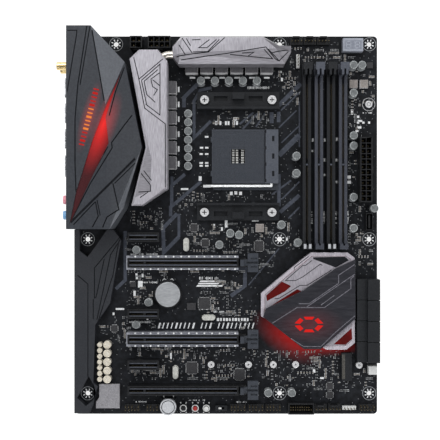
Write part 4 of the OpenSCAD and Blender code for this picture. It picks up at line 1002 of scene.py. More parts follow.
class MOTHERBOARD_OT_heatsinks(bpy.types.Operator):
    """Cut the lines into the power heatsinks and finish their pipe and pads"""

    bl_idname = "motherboard.heatsinks"
    bl_label = "Heatsinks"

    def execute(self, context):
        across = (14.0, 1.0, 1.0)
        # Painted shade: the flank, shade and far-end tones darken the faces that are turned from the light.
        metal = sink_metal("sink_metal", (0.31, 0.30, 0.33), (0.45, 0.435, 0.475), 0.4, across, 0.03)
        shaded_flank = sink_metal("sink_flank", (0.085, 0.082, 0.094), (0.135, 0.13, 0.147), 0.45, across)
        shade = sink_metal("sink_shade", (0.19, 0.183, 0.203), (0.27, 0.262, 0.288))
        shaded_far_end = sink_metal("sink_end", (0.12, 0.116, 0.130), (0.18, 0.175, 0.192))
        # Painted shade: a darker patch where the rear heatsink's top seems to slope down to the left.
        facet = ((42.1, 227.7), (47.5, 199.2), (38.0, 158.1), (50.4, 163.8), (51.5, 189.5))
        # The rear heatsink's faces that look to the left take the painted-shade flank.
        engraved("rear_heatsink", (metal, shaded_flank), 0.5, (
            ((36.8, 272.5), (41.3, 253.8), (46.0, 230.3), (62.6, 217.7), (62.6, 166.3)),
            ((41.3, 253.8), (60.9, 270.4)), ((43.4, 252.9), (58.3, 265.9), (58.3, 224.8), (46.6, 233.7)),
            ((43.4, 252.9), (47.4, 233.7)), ((45.5, 252.1), (56.6, 261.5)),
            ((45.5, 252.1), (47.6, 241.4), (54.5, 235.0)), ((51.0, 253.8), (57.9, 258.9)),
            ((51.0, 253.8), (52.3, 247.8), (56.2, 245.3), (53.2, 240.6)), ((52.3, 253.4), (57.9, 248.7)),
            ((43.0, 177.7), (50.6, 168.3), (50.6, 163.2), (40.9, 162.6)), ((48.9, 162.8), (42.2, 158.1)),
            ((45.1, 180.0), (51.5, 171.9))), 0.85,
            rule=lambda c, n: 1 if n.x < -0.5 or (n.x < -0.2 and n.z < 0.5) else 0, patch=(facet, shade))
        # Painted shade on the top heatsink: darkest on faces that look right and on its right end, darker on
        # faces that look to the near edge.
        engraved("top_heatsink", (metal, shade, shaded_far_end), 0.5, (
            ((71.2, 285.4), (78.8, 273.4)), ((75.9, 287.1), (84.2, 275.1)), ((79.6, 286.7), (82.9, 280.8)),
            ((71.6, 271.8), (97.6, 275.8), (111.0, 287.5)), ((84.9, 275.8), (96.9, 276.1), (106.3, 285.9)),
            ((98.3, 285.8), (89.6, 279.2), (96.3, 279.2), (104.0, 285.9)), ((84.2, 285.5), (91.0, 285.8)),
            ((75.3, 269.3), (111.6, 274.5), (143.8, 279.8), (151.2, 270.4), (154.1, 268.5)),
            ((142.5, 277.8), (149.3, 270.3), (114.9, 273.7)), ((148.5, 275.1), (161.7, 277.2)),
            ((124.6, 274.9), (134.3, 275.6), (129.4, 272.4)), ((145.6, 278.2), (154.6, 268.6), (162.1, 276.1))),
            0.85, follow=True,
            rule=lambda c, n: 2 if n.x > 0.1 or c.x > 150 else 1 if n.y < -0.2 else 0)
        pipe = finish("pipe_nickel", (0.46, 0.43, 0.39), (0.58, 0.55, 0.50), rough=0.3, metal=1.0)
        dress("heat_pipe", pipe, 0)
        pad = finish("pad_silicone", (0.30, 0.33, 0.37), (0.36, 0.39, 0.43), rough=0.7)
        dress("thermal_pads", pad, 0.1)
        dress("power_stages", black_plastic(), 0.1)
        return {"FINISHED"}


class MOTHERBOARD_OT_audio(bpy.types.Operator):
    """Cut the panel lines into the audio cover and finish the shielded audio parts"""

    bl_idname = "motherboard.audio"
    bl_label = "Audio section"

    def execute(self, context):
        coat = finish("audio_coat", (0.014, 0.0155, 0.0195), (0.0195, 0.0215, 0.0265), rough=0.47, level=0.32)
        engraved("audio_cover", (coat,), 0.35, (
            ((-8.2, 95.3), (0.1, 88.3), (0.1, 2.6)),
            ((28.0, 128.7), (5.4, 101.2), (5.4, 77.0), (6.6, 77.4), (13.3, 108.5)),
            ((28.0, 127.1), (18.3, 111.7), (7.4, 59.2)), ((22.8, 88.3), (19.1, 73.7), (9.4, 58.4)),
            ((24.8, 121.4), (20.3, 95.6), (8.2, 57.6)), ((4.4, 76.2), (4.4, 60.0))), 0.9)
        shield = finish("shield_metal", (0.23, 0.225, 0.24), (0.31, 0.305, 0.325), rough=0.35, metal=0.35)
        dress("codec_shield", shield, 0.3)
        champagne = finish("audio_can", (0.56, 0.52, 0.44), (0.72, 0.675, 0.585), rough=0.3, metal=0.3)
        groove_ring = Solid()
        rows = ((10.4, 4.0, 7, 4.6), (16.4, 6.3, 5, 6.9))
        places = [(x, 40 - i * pitch, d) for x, d, count, pitch in rows for i in range(count)]
        dress("audio_capacitors", champagne, 0.25)
        for x, y, d in places:
            groove_ring.ring(x, y, 0.34 * d, 0.37 * d, TOP + 5.98, TOP + 6.02, 20)
        line = finish("audio_can_line", (0.42, 0.35, 0.24), rough=0.4, metal=0.3)
        settle(groove_ring.make("audio_can_rings", line), SLOT_OF["audio_capacitors"])
        return {"FINISHED"}


# ---------- chipset ----------
class MOTHERBOARD_OT_chipset(bpy.types.Operator):
    """Finish the chipset's heatsink, its dark plate and the red light under it"""

    bl_idname = "motherboard.chipset"
    bl_label = "Chipset heatsink"

    def execute(self, context):
        look = armour_look()
        frame_metal = finish("frame_metal", (0.38, 0.355, 0.395), (0.50, 0.465, 0.515), rough=0.34, metal=0.3,
                             grain=200.0, streak=(8.0, 1.0, 1.0))
        dress("chipset_heatsink", frame_metal, 0.5)
        plate = finish("plate_metal", (0.021, 0.021, 0.027), (0.030, 0.030, 0.038), rough=0.36, metal=0.5,
                       grain=180.0, streak=(1.0, 8.0, 1.0))
        top, level = top_of("chipset_top_plate"), top_of("chipset_light_guide")
        emblem = seen(178.7, 55.6, top - TOP)
        # Painted red light on the dark plate round the lit emblem.
        halo(plate, emblem, (30.0, 17.0), 0.0, look.glow_colour, look.glow * 0.10)
        dress("chipset_top_plate", plate, 0.35)
        panel = finish("guide_metal", (0.27, 0.255, 0.285), (0.38, 0.36, 0.40), rough=0.36, metal=0.35,
                       grain=220.0, streak=(8.0, 1.0, 1.0))
        dress("chipset_light_guide", lit("guide_glow", 0.12), 0, more=(panel,),
              rule=lambda c, n: 1 if n.z > 0.5 else 0)
        dress("chipset", black_plastic(), 0.1)
        trim, windows, seams, red, glow = Solid(), Solid(), Solid(), Solid(), Solid()
        line = finish("plate_line", (0.23, 0.22, 0.26), (0.30, 0.29, 0.33), rough=0.3, metal=0.8)
        for points in (((149.0, 56.6), (169.1, 69.3), (191.2, 69.3), (212.5, 84.6), (212.5, 92.6),
                        (215.1, 94.7)),
                   ((177.0, 69.9), (215.5, 96.1)), ((188.4, 71.3), (199.2, 79.2)),
                   ((170.2, 72.4), (178.7, 72.4), (202.6, 88.9), (202.6, 95.4), (215.5, 104.0)),
                   ((188.3, 37.8), (200.3, 49.5), (215.5, 62.4)), ((191.2, 37.8), (215.5, 58.8)),
                   ((164.0, 44.4), (174.3, 37.8), (188.3, 37.8))):
            trim.ribbon(all_seen(points, top), 0.6, top - 0.02, top + 0.14)
        settle(trim.make("chipset_plate_lines", line), SLOT_OF["chipset_top_plate"])
        window = ((182.1, 109.9), (207.6, 110.4), (211.0, 107.6), (200.3, 101.6), (182.1, 108.5))
        windows.prism(all_seen(window, level), level - 0.02, level + 0.05)
        settle(windows.make("chipset_plate_windows", groove()), SLOT_OF["chipset_top_plate"])
        for points in (((159.5, 90.9), (173.6, 103.3), (175.9, 103.3), (181.1, 107.3)),
                   ((159.5, 90.9), (168.0, 91.2), (173.6, 94.0), (187.9, 104.4), (189.5, 103.3)),
                   ((150.9, 76.4), (154.4, 76.7), (171.4, 87.2), (177.0, 87.2), (196.9, 99.6)),
                   ((166.8, 99.9), (166.8, 101.6), (178.3, 110.5))):
            seams.ribbon(all_seen(points, level), 0.5, level - 0.02, level + 0.12)
        settle(seams.make("chipset_frame_seams", groove()), SLOT_OF["chipset_heatsink"])
        dim = finish("window_glow", (0.02, 0.002, 0.002), (0.05, 0.003, 0.003), rough=0.5, grain=140.0,
                     level=0.08, glow=tuple(look.glow_colour), strength=look.glow * 0.07)
        for points in (((144.1, 79.0), (156.7, 90.3), (164.3, 86.7), (159.5, 82.4), (144.7, 74.5)),
                   ((144.1, 68.2), (169.1, 84.1), (172.5, 82.6), (169.1, 79.6), (144.5, 65.3)),
                   ((198.5, 39.5), (213.1, 52.7), (213.6, 44.0), (208.2, 39.2))):
            red.prism(all_seen(points, level), level - 0.02, level + 0.08)
        settle(red.make("chipset_red_windows", dim), SLOT_OF["chipset_light_guide"])
        cx, cy = emblem
        for k in range(6):
            a, b = math.pi / 3 * k + 0.14, math.pi / 3 * (k + 1) - 0.14
            corners = ((11.5, 6.6, a), (11.5, 6.6, b), (7.2, 4.2, b), (7.2, 4.2, a))
            glow.prism([(cx + w * math.cos(at), cy + d * math.sin(at)) for w, d, at in corners],
                       top - 0.02, top + 0.08)
        settle(glow.make("chipset_lit_hexagon", lit("hexagon_glow", 0.8)), SLOT_OF["chipset_light_guide"])
        return {"FINISHED"}


# ---------- processor socket ----------
class MOTHERBOARD_OT_processor_socket(bpy.types.Operator):
    """Finish the processor socket, its sliding cover, lever, brackets and screws"""

    bl_idname = "motherboard.processor_socket"
    bl_label = "Processor socket"

    def execute(self, context):
        cx, cy = 121.4, 191.19
        cam_grey = finish("cam_grey", (0.050, 0.056, 0.070), (0.064, 0.071, 0.088), rough=0.38, level=0.4)
        dress("socket_base", slate_plastic(), 0.25, more=(cam_grey,),
              rule=lambda c, n: 1 if c.x > 143 and n.z > 0.5 and c.z > 6 else 0)
        dress("socket_cover", slate_plastic(), 0.2, "socket_cover")
        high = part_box("socket_cover")[1]
        z = high.z / MM - 0.35
        hole = Solid()
        hole.disc(0, 0, 0.27, -0.02, 0.012, 6)
        places = []
        for i in range(-19, 20):
            for j in range(-19, 20):
                x, y = cx + i, cy + j
                if (abs(x - cx) < 6.6 and abs(y - cy) < 6.9) or x > high.x / MM - 0.6:
                    continue
                places.append((x, y, z))
        contact = finish("contact_hole", (0.014, 0.016, 0.021), (0.022, 0.025, 0.032), rough=0.6, level=0.2)
        copies("socket_contact_holes", places, hole, contact, SLOT_OF["socket_cover"], "socket_cover")
        parts = Solid()
        for i, x in enumerate((-3.9, -0.9, 3.6)):
            for j in range(6):
                parts.centred(cx + x, cy - 4.8 + 1.9 * j + (0.25 if j > 2 else 0), 1.9 if i < 2 else 2.3,
                              1.25, SUNK, TOP + 0.9)
        well = finish("well_part", (0.42, 0.42, 0.40), (0.62, 0.62, 0.60), rough=0.5, grain=1400.0)
        settle(parts.make("socket_well_parts", well), "tin")
        slots = Solid()
        cam_top = top_of("socket_base")
        for j in (-1, 0, 1):
            slots.centred(149.4, cy + 14 * j, 1.9, 4.2, cam_top - 0.02, cam_top + 0.04)
        for j in range(4):
            slots.centred(143.3, cy - 19.6 + 13.1 * j, 1.3, 2.6, cam_top - 0.02, cam_top + 0.04)
        slots.centred(143.0, cy, 0.7, 41.0, cam_top - 0.02, cam_top + 0.03)
        settle(slots.make("cam_box_slots", groove()), SLOT_OF["socket_base"])
        lever = finish("lever_steel", (0.62, 0.63, 0.64), (0.74, 0.75, 0.76), rough=0.24, metal=0.35)
        dress("socket_lever", lever, 0.15, "socket_lever")
        dress("cooler_brackets", dark_plastic(), 0.5)
        dress("screws", bright_metal(), 0.3, more=(groove(),),
              rule=lambda c, n: 1 if n.z > 0.5 and 6.4 < c.z < 7.4 else 0)
        dress("socket_backplate", black_metal(), 0.4)
        return {"FINISHED"}


# ---------- memory ----------
class MOTHERBOARD_OT_memory(bpy.types.Operator):
    """Finish the four memory slots, their contacts and latches"""

    bl_idname = "motherboard.memory"
    bl_label = "Memory slots"

    def execute(self, context):
        def grey(c, n):
            return 1 if min(abs(c.x - x) for x in MEMORY_XS[1::2]) < 3.7 else 0

        memory_grey = finish("memory_grey", (0.030, 0.033, 0.043), (0.042, 0.046, 0.060),
                             rough=0.42, level=0.3)
        dress("memory_slots", dark_plastic(), 0.25, more=(memory_grey,), rule=grey)
        contact = Solid()
        contact.box(-0.07, -0.24, -4.0, 0.07, 0.24, 0)
        places = []
        for x in MEMORY_XS:
            for k in range(140):
                y = 124.6 + 0.85 * k + (5.5 if k > 69 else 0)
                places += [(x - 0.68, y, TOP + 7.6), (x + 0.68, y, TOP + 7.6)]
        copies("memory_contacts", places, contact, dull_gold(), SLOT_OF["header_pins"])
        key = Solid()
        for x in MEMORY_XS:
            key.centred(x, 184.2, 1.5, 1.2, TOP + 8.4, TOP + 8.56)
        settle(key.make("memory_keys", grey_plastic()), SLOT_OF["memory_slots"])
        ends = Solid()
        for x in MEMORY_XS[::2]:
            for s in (-1, 1):
                ends.centred(x + s * 2.0, 119.2, 2.0, 3.6, TOP + 13.98, TOP + 14.08)
        end_mark = finish("end_mark", (0.30, 0.31, 0.33), (0.38, 0.39, 0.41), rough=0.4)
        settle(ends.make("memory_end_marks", end_mark), SLOT_OF["memory_slots"])
        for k in range(4):
            name = f"memory_latch_{k + 1}"
            dress(name, grey_plastic() if k % 2 else dark_plastic(), 0.4, name)
        return {"FINISHED"}


# ---------- expansion slots ----------
class MOTHERBOARD_OT_expansion_slots(bpy.types.Operator):
    """Finish the expansion slots, their steel shields, contacts and latches"""

    bl_idname = "motherboard.expansion_slots"
    bl_label = "Expansion slots"

    def execute(self, context):
        dress("expansion_slots", black_plastic(), 0.2)
        dress("slot_shields", steel(), 0.15)
        dot, strip = Solid(), Solid()
        dot.disc(0, 0, 0.75, -0.02, 0.25, 10)
        places = []
        for i in SHIELDED_SLOTS:
            for side in (-1, 1):
                places += [(39.5 + 6.1 * k, SLOT_YS[i] + side * 4.98, TOP + 10.6) for k in range(14)]
        copies("shield_solder_points", places, dot, tin(), SLOT_OF["slot_shields"])
        # Painted highlights: pale strips along the slots' lips, where their edges catch the light.
        inner = finish("slot_lip", (0.055, 0.062, 0.080), (0.078, 0.087, 0.110), rough=0.35, level=0.35)
        low = TOP + 11.15
        for i in SLOTS:
            end = 33.4 + (88.2 if i in LONG_SLOTS else 25.0)
            apart, half, high = (1.75, 0.35, 0.09) if i in SHIELDED_SLOTS else (1.6, 0.22, 0.08)
            for side in (-1, 1):
                y = SLOT_YS[i] + side * apart
                strip.box(35.0, y - half, low, end - 1.5, y + half, low + high)
        settle(strip.make("slot_lips", inner), SLOT_OF["expansion_slots"])
        contact = Solid()
        contact.box(-0.25, -0.08, -4.0, 0.25, 0.08, 0)
        places = []
        for i in SLOTS:
            for k in range(80 if i in LONG_SLOTS else 17):
                x = 36.0 + k + (1.9 if k > 10 else 0)
                places += [(x, SLOT_YS[i] - 0.77, TOP + 9.8), (x, SLOT_YS[i] + 0.77, TOP + 9.8)]
        copies("slot_contacts", places, contact, dull_gold(), SLOT_OF["header_pins"])
        for k in range(3):
            name = f"x16_latch_{k + 1}"
            dress(name, slate_plastic(), 0.3, name)
        return {"FINISHED"}


# ---------- power parts ----------
class MOTHERBOARD_OT_power(bpy.types.Operator):
    """Finish the chokes, capacitors and power sockets"""

    bl_idname = "motherboard.power"
    bl_label = "Power parts"

    def execute(self, context):
        ferrite = finish("choke_ferrite", (0.066, 0.065, 0.071), (0.092, 0.090, 0.098), rough=0.42, metal=0.2,
                         grain=300.0, streak=(4.0, 1.0, 1.0))
        side = finish("choke_side", (0.62, 0.62, 0.63), (0.80, 0.80, 0.81), rough=0.35, metal=0.2)
        tan = finish("choke_tan", (0.17, 0.155, 0.145), (0.25, 0.225, 0.21), rough=0.45, metal=0.2)
        dress("chokes", ferrite, 0.35, more=(side, tan),
              rule=lambda c, n: 1 if n.z < 0.5 else 2 if c.x > 130 and c.z < 6.5 else 0)
        bars = Solid()
        for i in range(6):
            bars.centred(84.6 + 12 * i, 254.9, 4.4, 1.4, SUNK, TOP + 0.05)
            bars.centred(73.4, 245.4 - 12 * i, 1.4, 4.4, SUNK, TOP + 0.05)
        settle(bars.make("choke_pads", silk()), "laminate")
        can = finish("cap_can", (0.125, 0.135, 0.138), (0.185, 0.198, 0.202), rough=0.32, metal=0.3)
        rim = finish("cap_rim", (0.34, 0.36, 0.365), (0.50, 0.52, 0.525), rough=0.28, metal=0.35)
        dress("capacitors", can, 0.3, more=(rim,), rule=lambda c, n: 0 if n.z > 0.5 and c.z > 8.95 else 1)
        far = [(91.5 + 11.2 * i, 251.39) for i in range(5)]
        rear = [(81.3, 225.09 - 6.98 * i) for i in range(7)]
        lone = [(168, 191.39), (168, 177.49), (213.68, 263.99), (220.48, 263.99), (213.68, 241.69),
                (213.68, 207.59), (213.68, 199.49), (213.68, 158.39), (213.68, 133.6), (230.38, 149.3),
                (39.9, 116.2), (49.6, 74.2), (39.7, 56.4), (145.4, 1.8), (164.2, 1.8),
                (115, 129.5), (122.1, 128.3), (106.3, 120.4), (156, 136.4), (169.2, 122.1)]
        mark = Solid()
        mark.ribbon([(-1.3, -1.0), (1.3, 1.0)], 0.22, -0.01, 0.03)
        mark.ribbon([(-1.0, 1.3), (1.0, -1.3)], 0.22, -0.01, 0.03)
        turned = [(x, y, TOP + 7.5, 0.35 * k) for k, (x, y) in enumerate(far + rear + lone)]
        copies("capacitor_marks", turned, mark, finish("cap_score", (0.10, 0.105, 0.11), rough=0.5),
               SLOT_OF["capacitors"])
        arc = Solid()
        turns = [math.pi * (1.15 + k * 0.07) for k in range(11)]
        arc.prism([(3.9 * math.cos(a), 3.9 * math.sin(a)) for a in turns], -0.01, 0.03)
        printed = [(x, y, TOP) for x, y in far + lone if x < 229]
        copies("capacitor_prints", printed, arc, dim_silk(), "laminate")
        for node in ("main_power_socket", "cpu_power_sockets"):
            dress(node, black_plastic(), 0.25)
        return {"FINISHED"}


# ---------- storage ----------
class MOTHERBOARD_OT_storage(bpy.types.Operator):
    """Finish the drive sockets, the card socket and its posts"""

    bl_idname = "motherboard.storage"
    bl_label = "Storage sockets"

    def execute(self, context):
        dress("sata_sockets", dark_plastic(), 0.2)
        dress("m2_socket", dark_plastic(), 0.25)
        dress("m2_standoffs", bright_metal(), 0.3)
        rows = Solid()
        for i in range(4):
            y = 26.9 + 16.6 * i
            for k in range(5):
                rows.box(219.6, y + 2.4 + 2.6 * k, TOP + 10.48, 222.6, y + 3.5 + 2.6 * k, TOP + 10.56)
        settle(rows.make("drive_socket_ribs", dark_plastic()), SLOT_OF["sata_sockets"])
        contact = Solid()
        contact.box(-1.2, -0.12, 0, 1.2, 0.12, 0.2)
        copies("card_socket_contacts", [(205.9, 12.6 + 0.55 * k, TOP + 4.15) for k in range(36)], contact,
               finish("card_contacts", (0.12, 0.115, 0.10), (0.18, 0.17, 0.15), rough=0.4, metal=0.4), "tin")
        return {"FINISHED"}


# ---------- headers ----------
class MOTHERBOARD_OT_headers(bpy.types.Operator):
    """Finish the pin headers and their pins"""

    bl_idname = "motherboard.headers"
    bl_label = "Headers"

    def execute(self, context):
        dress("pin_headers", black_plastic(), 0.2)
        dress("light_headers", pale_plastic(), 0.2)
        dress("header_pins", dull_gold(), 0.12)
        tail = Solid()
        tail.disc(0, 0, 0.55, -2.2, 0.0, 8)
        places = []
        for x in MEMORY_XS:
            places += [(x + s * 1.9, 124.2 + 1.7 * k, 0) for s in (-1, 1) for k in range(73)]
        for i in SLOTS:
            count = 40 if i in LONG_SLOTS else 10
            places += [(37.0 + 2.0 * k, SLOT_YS[i] + s * 2.0, 0) for s in (-1, 1) for k in range(count)]
        places += [(222.68 + s * 2.1, 158.8 + 4.2 * k, 0) for s in (-1, 1) for k in range(12)]
        places += [(x, 281.09 + s * 2.1, 0) for s in (-1, 1) for x in (38.1, 42.3, 52.3, 56.5, 60.7, 64.9)]
        for y in (241.49, 221.99, 202.49):
            places += [(1.0 + 2.0 * i, y + 2.5 * j, 0) for i in (0, 1) for j in (-2, -1, 0, 1, 2)]
        places += [(3.0 + 2.0 * i, 181.49 + 2.4 * j, 0) for i in (0, 1) for j in (-2, -1, 0, 1, 2)]
        places += [(-6.5 + 3.0 * i, y + 3.0 * j, 0)
                   for y in (155.49, 143.69) for i in (0, 1, 2) for j in (-1, 0, 1)]
        places += [(219.7, 31.0 + 1.5 * k, 0) for k in range(38)]
        for x, n in ((36.4, 5), (52.6, 4), (121.2, 5), (135.6, 5), (149.6, 5), (224.68, 5)):
            places += [(x + (i - (n - 1) / 2) * 2.54, -10.51 + s * 1.27, 0)
                       for s in (-1, 1) for i in range(n)]
        copies("solder_tails_look", places, tail, tin(), SLOT_OF["solder_tails"], nodes=("solder_tails",))
        return {"FINISHED"}


# ---------- switches ----------
class MOTHERBOARD_OT_switches(bpy.types.Operator):
    """Finish the push buttons, the slide switch and their housings"""

    bl_idname = "motherboard.switches"
    bl_label = "Buttons and switches"

    def execute(self, context):
        dress("switch_housings", dark_plastic(), 0.25)
        pearl = finish("start_cap", (0.36, 0.37, 0.39), (0.45, 0.46, 0.48), rough=0.3)
        dress("start_button", pearl, 0.3, "start_button", more=(groove(),),
              rule=lambda c, n: 1 if n.z > 0.5 and 10.0 < c.z < 10.3 else 0)
        for name, plastic, bevel in (
                ("reset_button", black_plastic, 0.2), ("safe_boot_button", red_plastic, 0.2),
                ("retry_button", pale_plastic, 0.2), ("slow_mode_knob", pale_plastic, 0.15),
                ("clear_button", pale_plastic, 0.2), ("flashback_button", pale_plastic, 0.2)):
            dress(name, plastic(), bevel, name)
        rings = Solid()
        z = TOP + 3.5
        for x in BUTTON_XS:
            rings.ring(x, BUTTON_Y, 2.1, 2.85, z - 0.02, z + 0.06, 28)
        settle(rings.make("button_rings", pale_plastic()), SLOT_OF["switch_housings"])
        legs = Solid()
        legs.box(-0.45, -0.8, 0, 0.45, 0.8, 0.35)
        places = [(x + a, BUTTON_Y + b, TOP) for x in BUTTON_XS for a in (-2.2, 2.2) for b in (-3.5, 3.5)]
        places += [(65.4 + a, -9.11 + b, TOP) for a in (-4, 4) for b in (-6.5, 6.5)]
        copies("button_legs", places, legs, tin(), "tin")
        return {"FINISHED"}


# ---------- rear sockets ----------
class MOTHERBOARD_OT_rear_sockets(bpy.types.Operator):
    """Finish the outside sockets on the rear edge"""

    bl_idname = "motherboard.rear_sockets"
    bl_label = "Rear sockets"

    def execute(self, context):
        port = finish("port_steel", (0.60, 0.61, 0.63), (0.70, 0.71, 0.73), rough=0.27, metal=1.0,
                      streak=(1.0, 1.0, 7.0))
        tongue = finish("port_tongue", (0.02, 0.09, 0.32), (0.03, 0.12, 0.40), rough=0.4)

        dress("usb_towers", port, 0.2, more=(tongue,), rule=lambda c, n: 1 if -11.4 < c.x < -3.0 and (
            abs(n.z) > 0.9 and 1.0 < (c.z - TOP) % 7.7 < 6.8 and c.z < 31.0) else 0)
        dress("network_tower", port, 0.25)
        ring_pink = finish("jack_pink", (0.72, 0.27, 0.33), (0.80, 0.34, 0.40), rough=0.35)
        ring_blue = finish("jack_blue", (0.16, 0.36, 0.62), (0.22, 0.43, 0.70), rough=0.35)

        def jack(c, n):
            if c.x > -11.2:
                return 0
            return 1 if c.y > 149.6 else 2

        dress("audio_jack_block", dark_plastic(), 0.2, more=(ring_pink, ring_blue), rule=jack)
        dress("wireless_module", port, 0.2)
        dress("antenna_jacks", gold(), 0.15)
        return {"FINISHED"}


# ---------- battery, display and chips ----------
class MOTHERBOARD_OT_battery(bpy.types.Operator):
    """Finish the coin cell and its holder"""

    bl_idname = "motherboard.battery"
    bl_label = "Coin cell"

    def execute(self, context):
        can = finish("cell_steel", (0.30, 0.31, 0.325), (0.38, 0.39, 0.405), rough=0.36, metal=0.35,
                     grain=260.0, streak=(1.0, 5.0, 1.0))
        dress("coin_cell", can, 0.45, "coin_cell", segments=3)
        dress("battery_holder", black_plastic(), 0.2)
        z = top_of("coin_cell")
        ring = Solid()
        ring.ring(64.9, 80.2, 8.3, 8.55, z - 0.02, z + 0.02, 40)
        settle(ring.make("coin_cell_ring", finish("cell_line", (0.24, 0.25, 0.26), rough=0.4, metal=0.35)),
               SLOT_OF["coin_cell"], "coin_cell")
        clip = Solid()
        for s in (-1, 1):
            clip.ribbon([(64.9 + s * 1.4, 91.6), (64.9 + s * 3.2, 92.6), (64.9 + s * 4.6, 91.2)], 0.6,
                        TOP + 0.02, TOP + 0.5)
        settle(clip.make("cell_clip", tin()), "tin")
        return {"FINISHED"}


class MOTHERBOARD_OT_chips(bpy.types.Operator):
    """Finish the chips, crystals and the code display, and give the chips their legs"""

    bl_idname = "motherboard.chips"
    bl_label = "Chips and display"

    def execute(self, context):
        chip = finish("chip_black", (0.018, 0.018, 0.020), (0.028, 0.028, 0.031), rough=0.5, level=0.35)
        dress("integrated_circuits", chip, 0.12)
        can = finish("crystal_can", (0.46, 0.46, 0.43), (0.60, 0.60, 0.56), rough=0.3, metal=0.3)
        dress("crystals", can, 0.3)
        case = finish("display_case", (0.21, 0.225, 0.265), (0.27, 0.288, 0.335), rough=0.4)
        dress("code_display", case, 0.3)
        z = top_of("code_display")
        face, bars = Solid(), Solid()
        face.box(206.3, 276.6, z - 0.02, 220.0, 283.6, z + 0.05)
        pane = finish("display_pane", (0.165, 0.178, 0.215), (0.20, 0.215, 0.255), rough=0.25)
        settle(face.make("display_window", pane), SLOT_OF["code_display"])
        for cx in (209.6, 216.6):
            for dy in (-2.6, 0.0, 2.6):
                bars.centred(cx, 280.1 + dy, 2.4, 0.5, z + 0.04, z + 0.09)
            for dx, dy in ((-1.7, 1.3), (1.7, 1.3), (-1.7, -1.3), (1.7, -1.3)):
                bars.centred(cx + dx, 280.1 + dy, 0.5, 2.1, z + 0.04, z + 0.09)
        off = finish("display_bars", (0.23, 0.245, 0.28), rough=0.3)
        settle(bars.make("display_bars", off), SLOT_OF["code_display"])
        leg = Solid()
        leg.box(-0.16, -0.3, 0, 0.16, 0.3, 0.2)
        places = []
        for x, y, w, d, pitch in (
                (84.1, 20.6, 9, 9, 0.8), (122.6, 15.4, 8.6, 8.6, 0.8), (94.2, 72.7, 9.4, 9, 0.8),
                (94.9, 121.5, 6, 6, 0.7), (85.8, 133.7, 6, 6, 0.7), (138.3, 119, 7, 8, 0.8),
                (195.5, 6, 5, 5.4, 0.9), (195.5, -1.2, 5, 5.4, 0.9), (21.5, 52.5, 5.3, 5.3, 0.7)):
            n, m = int(w / pitch) - 1, int(d / pitch) - 1
            for i in range(n):
                places += [(x + (i - (n - 1) / 2) * pitch, y + s * (d / 2 + 0.25), TOP, 0) for s in (-1, 1)]
            for j in range(m):
                places += [(x + s * (w / 2 + 0.25), y + (j - (m - 1) / 2) * pitch, TOP, math.pi / 2)
                           for s in (-1, 1)]
        copies("chip_legs", places, leg, tin(), "tin")
        return {"FINISHED"}


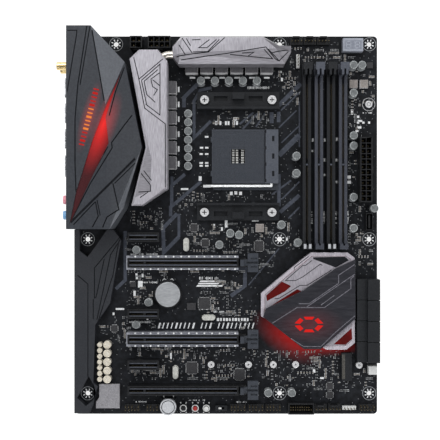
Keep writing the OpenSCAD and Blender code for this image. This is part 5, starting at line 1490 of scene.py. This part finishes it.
# ---------- stage ----------
class MOTHERBOARD_OT_stage(bpy.types.Operator):
    """Lay the floor and set the soft light and the camera straight above the board"""

    bl_idname = "motherboard.stage"
    bl_label = "Floor, light and camera"

    def execute(self, context):
        look = context.scene.motherboard_stage
        z, half = CAD_BOX[0][2], 4.0
        mesh = bpy.data.meshes.new("floor")
        mesh.from_pydata([(-half, -half, z), (half, -half, z), (half, half, z), (-half, half, z)], [],
                         [(0, 1, 2, 3)])
        floor = linked("floor", mesh)
        floor.data.materials.append(finish(
            "floor_paper", (0.40, 0.40, 0.40), (0.41, 0.41, 0.41), rough=0.9, grain=3.0, bump=0.0, level=0.1,
            glow=(1.0, 1.0, 1.0), strength=0.80))
        world = bpy.data.worlds.new("even_light")
        world.use_nodes = True
        world.node_tree.nodes["Background"].inputs["Color"].default_value = (0.95, 0.97, 1.0, 1.0)
        world.node_tree.nodes["Background"].inputs["Strength"].default_value = look.light
        context.scene.world = world
        for name, place, size, power in (("soft_far", (0.05, 1.0, 0.85), 0.9, 1.5),
                                         ("soft_rear", (-0.75, 0.25, 0.8), 0.8, 0.9),
                                         ("soft_front", (0.95, 0.1, 0.8), 0.8, 0.8),
                                         ("soft_near", (0.2, -0.75, 0.6), 0.7, 0.9)):
            data = bpy.data.lights.new(name, "AREA")
            data.shape = "SQUARE"
            data.size = size
            data.energy = look.key * power
            lamp = linked(name, data)
            lamp.location = place
            aim = Vector((0.107, 0.14, 0.0)) - Vector(place)
            lamp.rotation_euler = aim.to_track_quat("-Z", "Y").to_euler()
        data = bpy.data.cameras.new("camera")
        data.sensor_width = 36.0
        data.lens = look.lens
        data.dof.use_dof = False
        data.clip_start = 0.01
        camera = linked("camera", data)
        camera.location = (EYE[0] * MM, EYE[1] * MM, look.height)
        context.scene.camera = camera
        context.scene.view_settings.view_transform = "Standard"
        return {"FINISHED"}


class MOTHERBOARD_PT_panel(bpy.types.Panel):
    """The looks' settings and the buttons that build them"""

    bl_idname = "MOTHERBOARD_PT_panel"
    bl_label = "Motherboard"
    bl_space_type = "VIEW_3D"
    bl_region_type = "UI"
    bl_category = "Motherboard"

    def draw(self, context):
        for group in ("motherboard_board", "motherboard_armour", "motherboard_stage"):
            box = self.layout.box()
            look = getattr(context.scene, group)
            for key in look.__annotations__:
                box.prop(look, key)
        for operator in OPERATORS:
            self.layout.operator(operator.bl_idname)


OPERATORS = (
    MOTHERBOARD_OT_board, MOTHERBOARD_OT_small_parts, MOTHERBOARD_OT_rear_cover, MOTHERBOARD_OT_heatsinks,
    MOTHERBOARD_OT_audio, MOTHERBOARD_OT_chipset, MOTHERBOARD_OT_processor_socket, MOTHERBOARD_OT_memory,
    MOTHERBOARD_OT_expansion_slots, MOTHERBOARD_OT_power, MOTHERBOARD_OT_storage, MOTHERBOARD_OT_headers,
    MOTHERBOARD_OT_switches, MOTHERBOARD_OT_rear_sockets, MOTHERBOARD_OT_battery, MOTHERBOARD_OT_chips,
    MOTHERBOARD_OT_stage)
GROUPS = (BoardLook, ArmourLook, StageLook)


def register():
    for cls in (*GROUPS, *OPERATORS, MOTHERBOARD_PT_panel):
        bpy.utils.register_class(cls)
    bpy.types.Scene.motherboard_board = PointerProperty(type=BoardLook)
    bpy.types.Scene.motherboard_armour = PointerProperty(type=ArmourLook)
    bpy.types.Scene.motherboard_stage = PointerProperty(type=StageLook)


def unregister():
    del bpy.types.Scene.motherboard_board
    del bpy.types.Scene.motherboard_armour
    del bpy.types.Scene.motherboard_stage
    for cls in (MOTHERBOARD_PT_panel, *reversed(OPERATORS), *reversed(GROUPS)):
        bpy.utils.unregister_class(cls)


def main():
    """Builds every piece in order."""
    register()
    for operator in OPERATORS:
        part, name = operator.bl_idname.split(".")
        getattr(getattr(bpy.ops, part), name)()


if __name__ == "__main__":
    main()
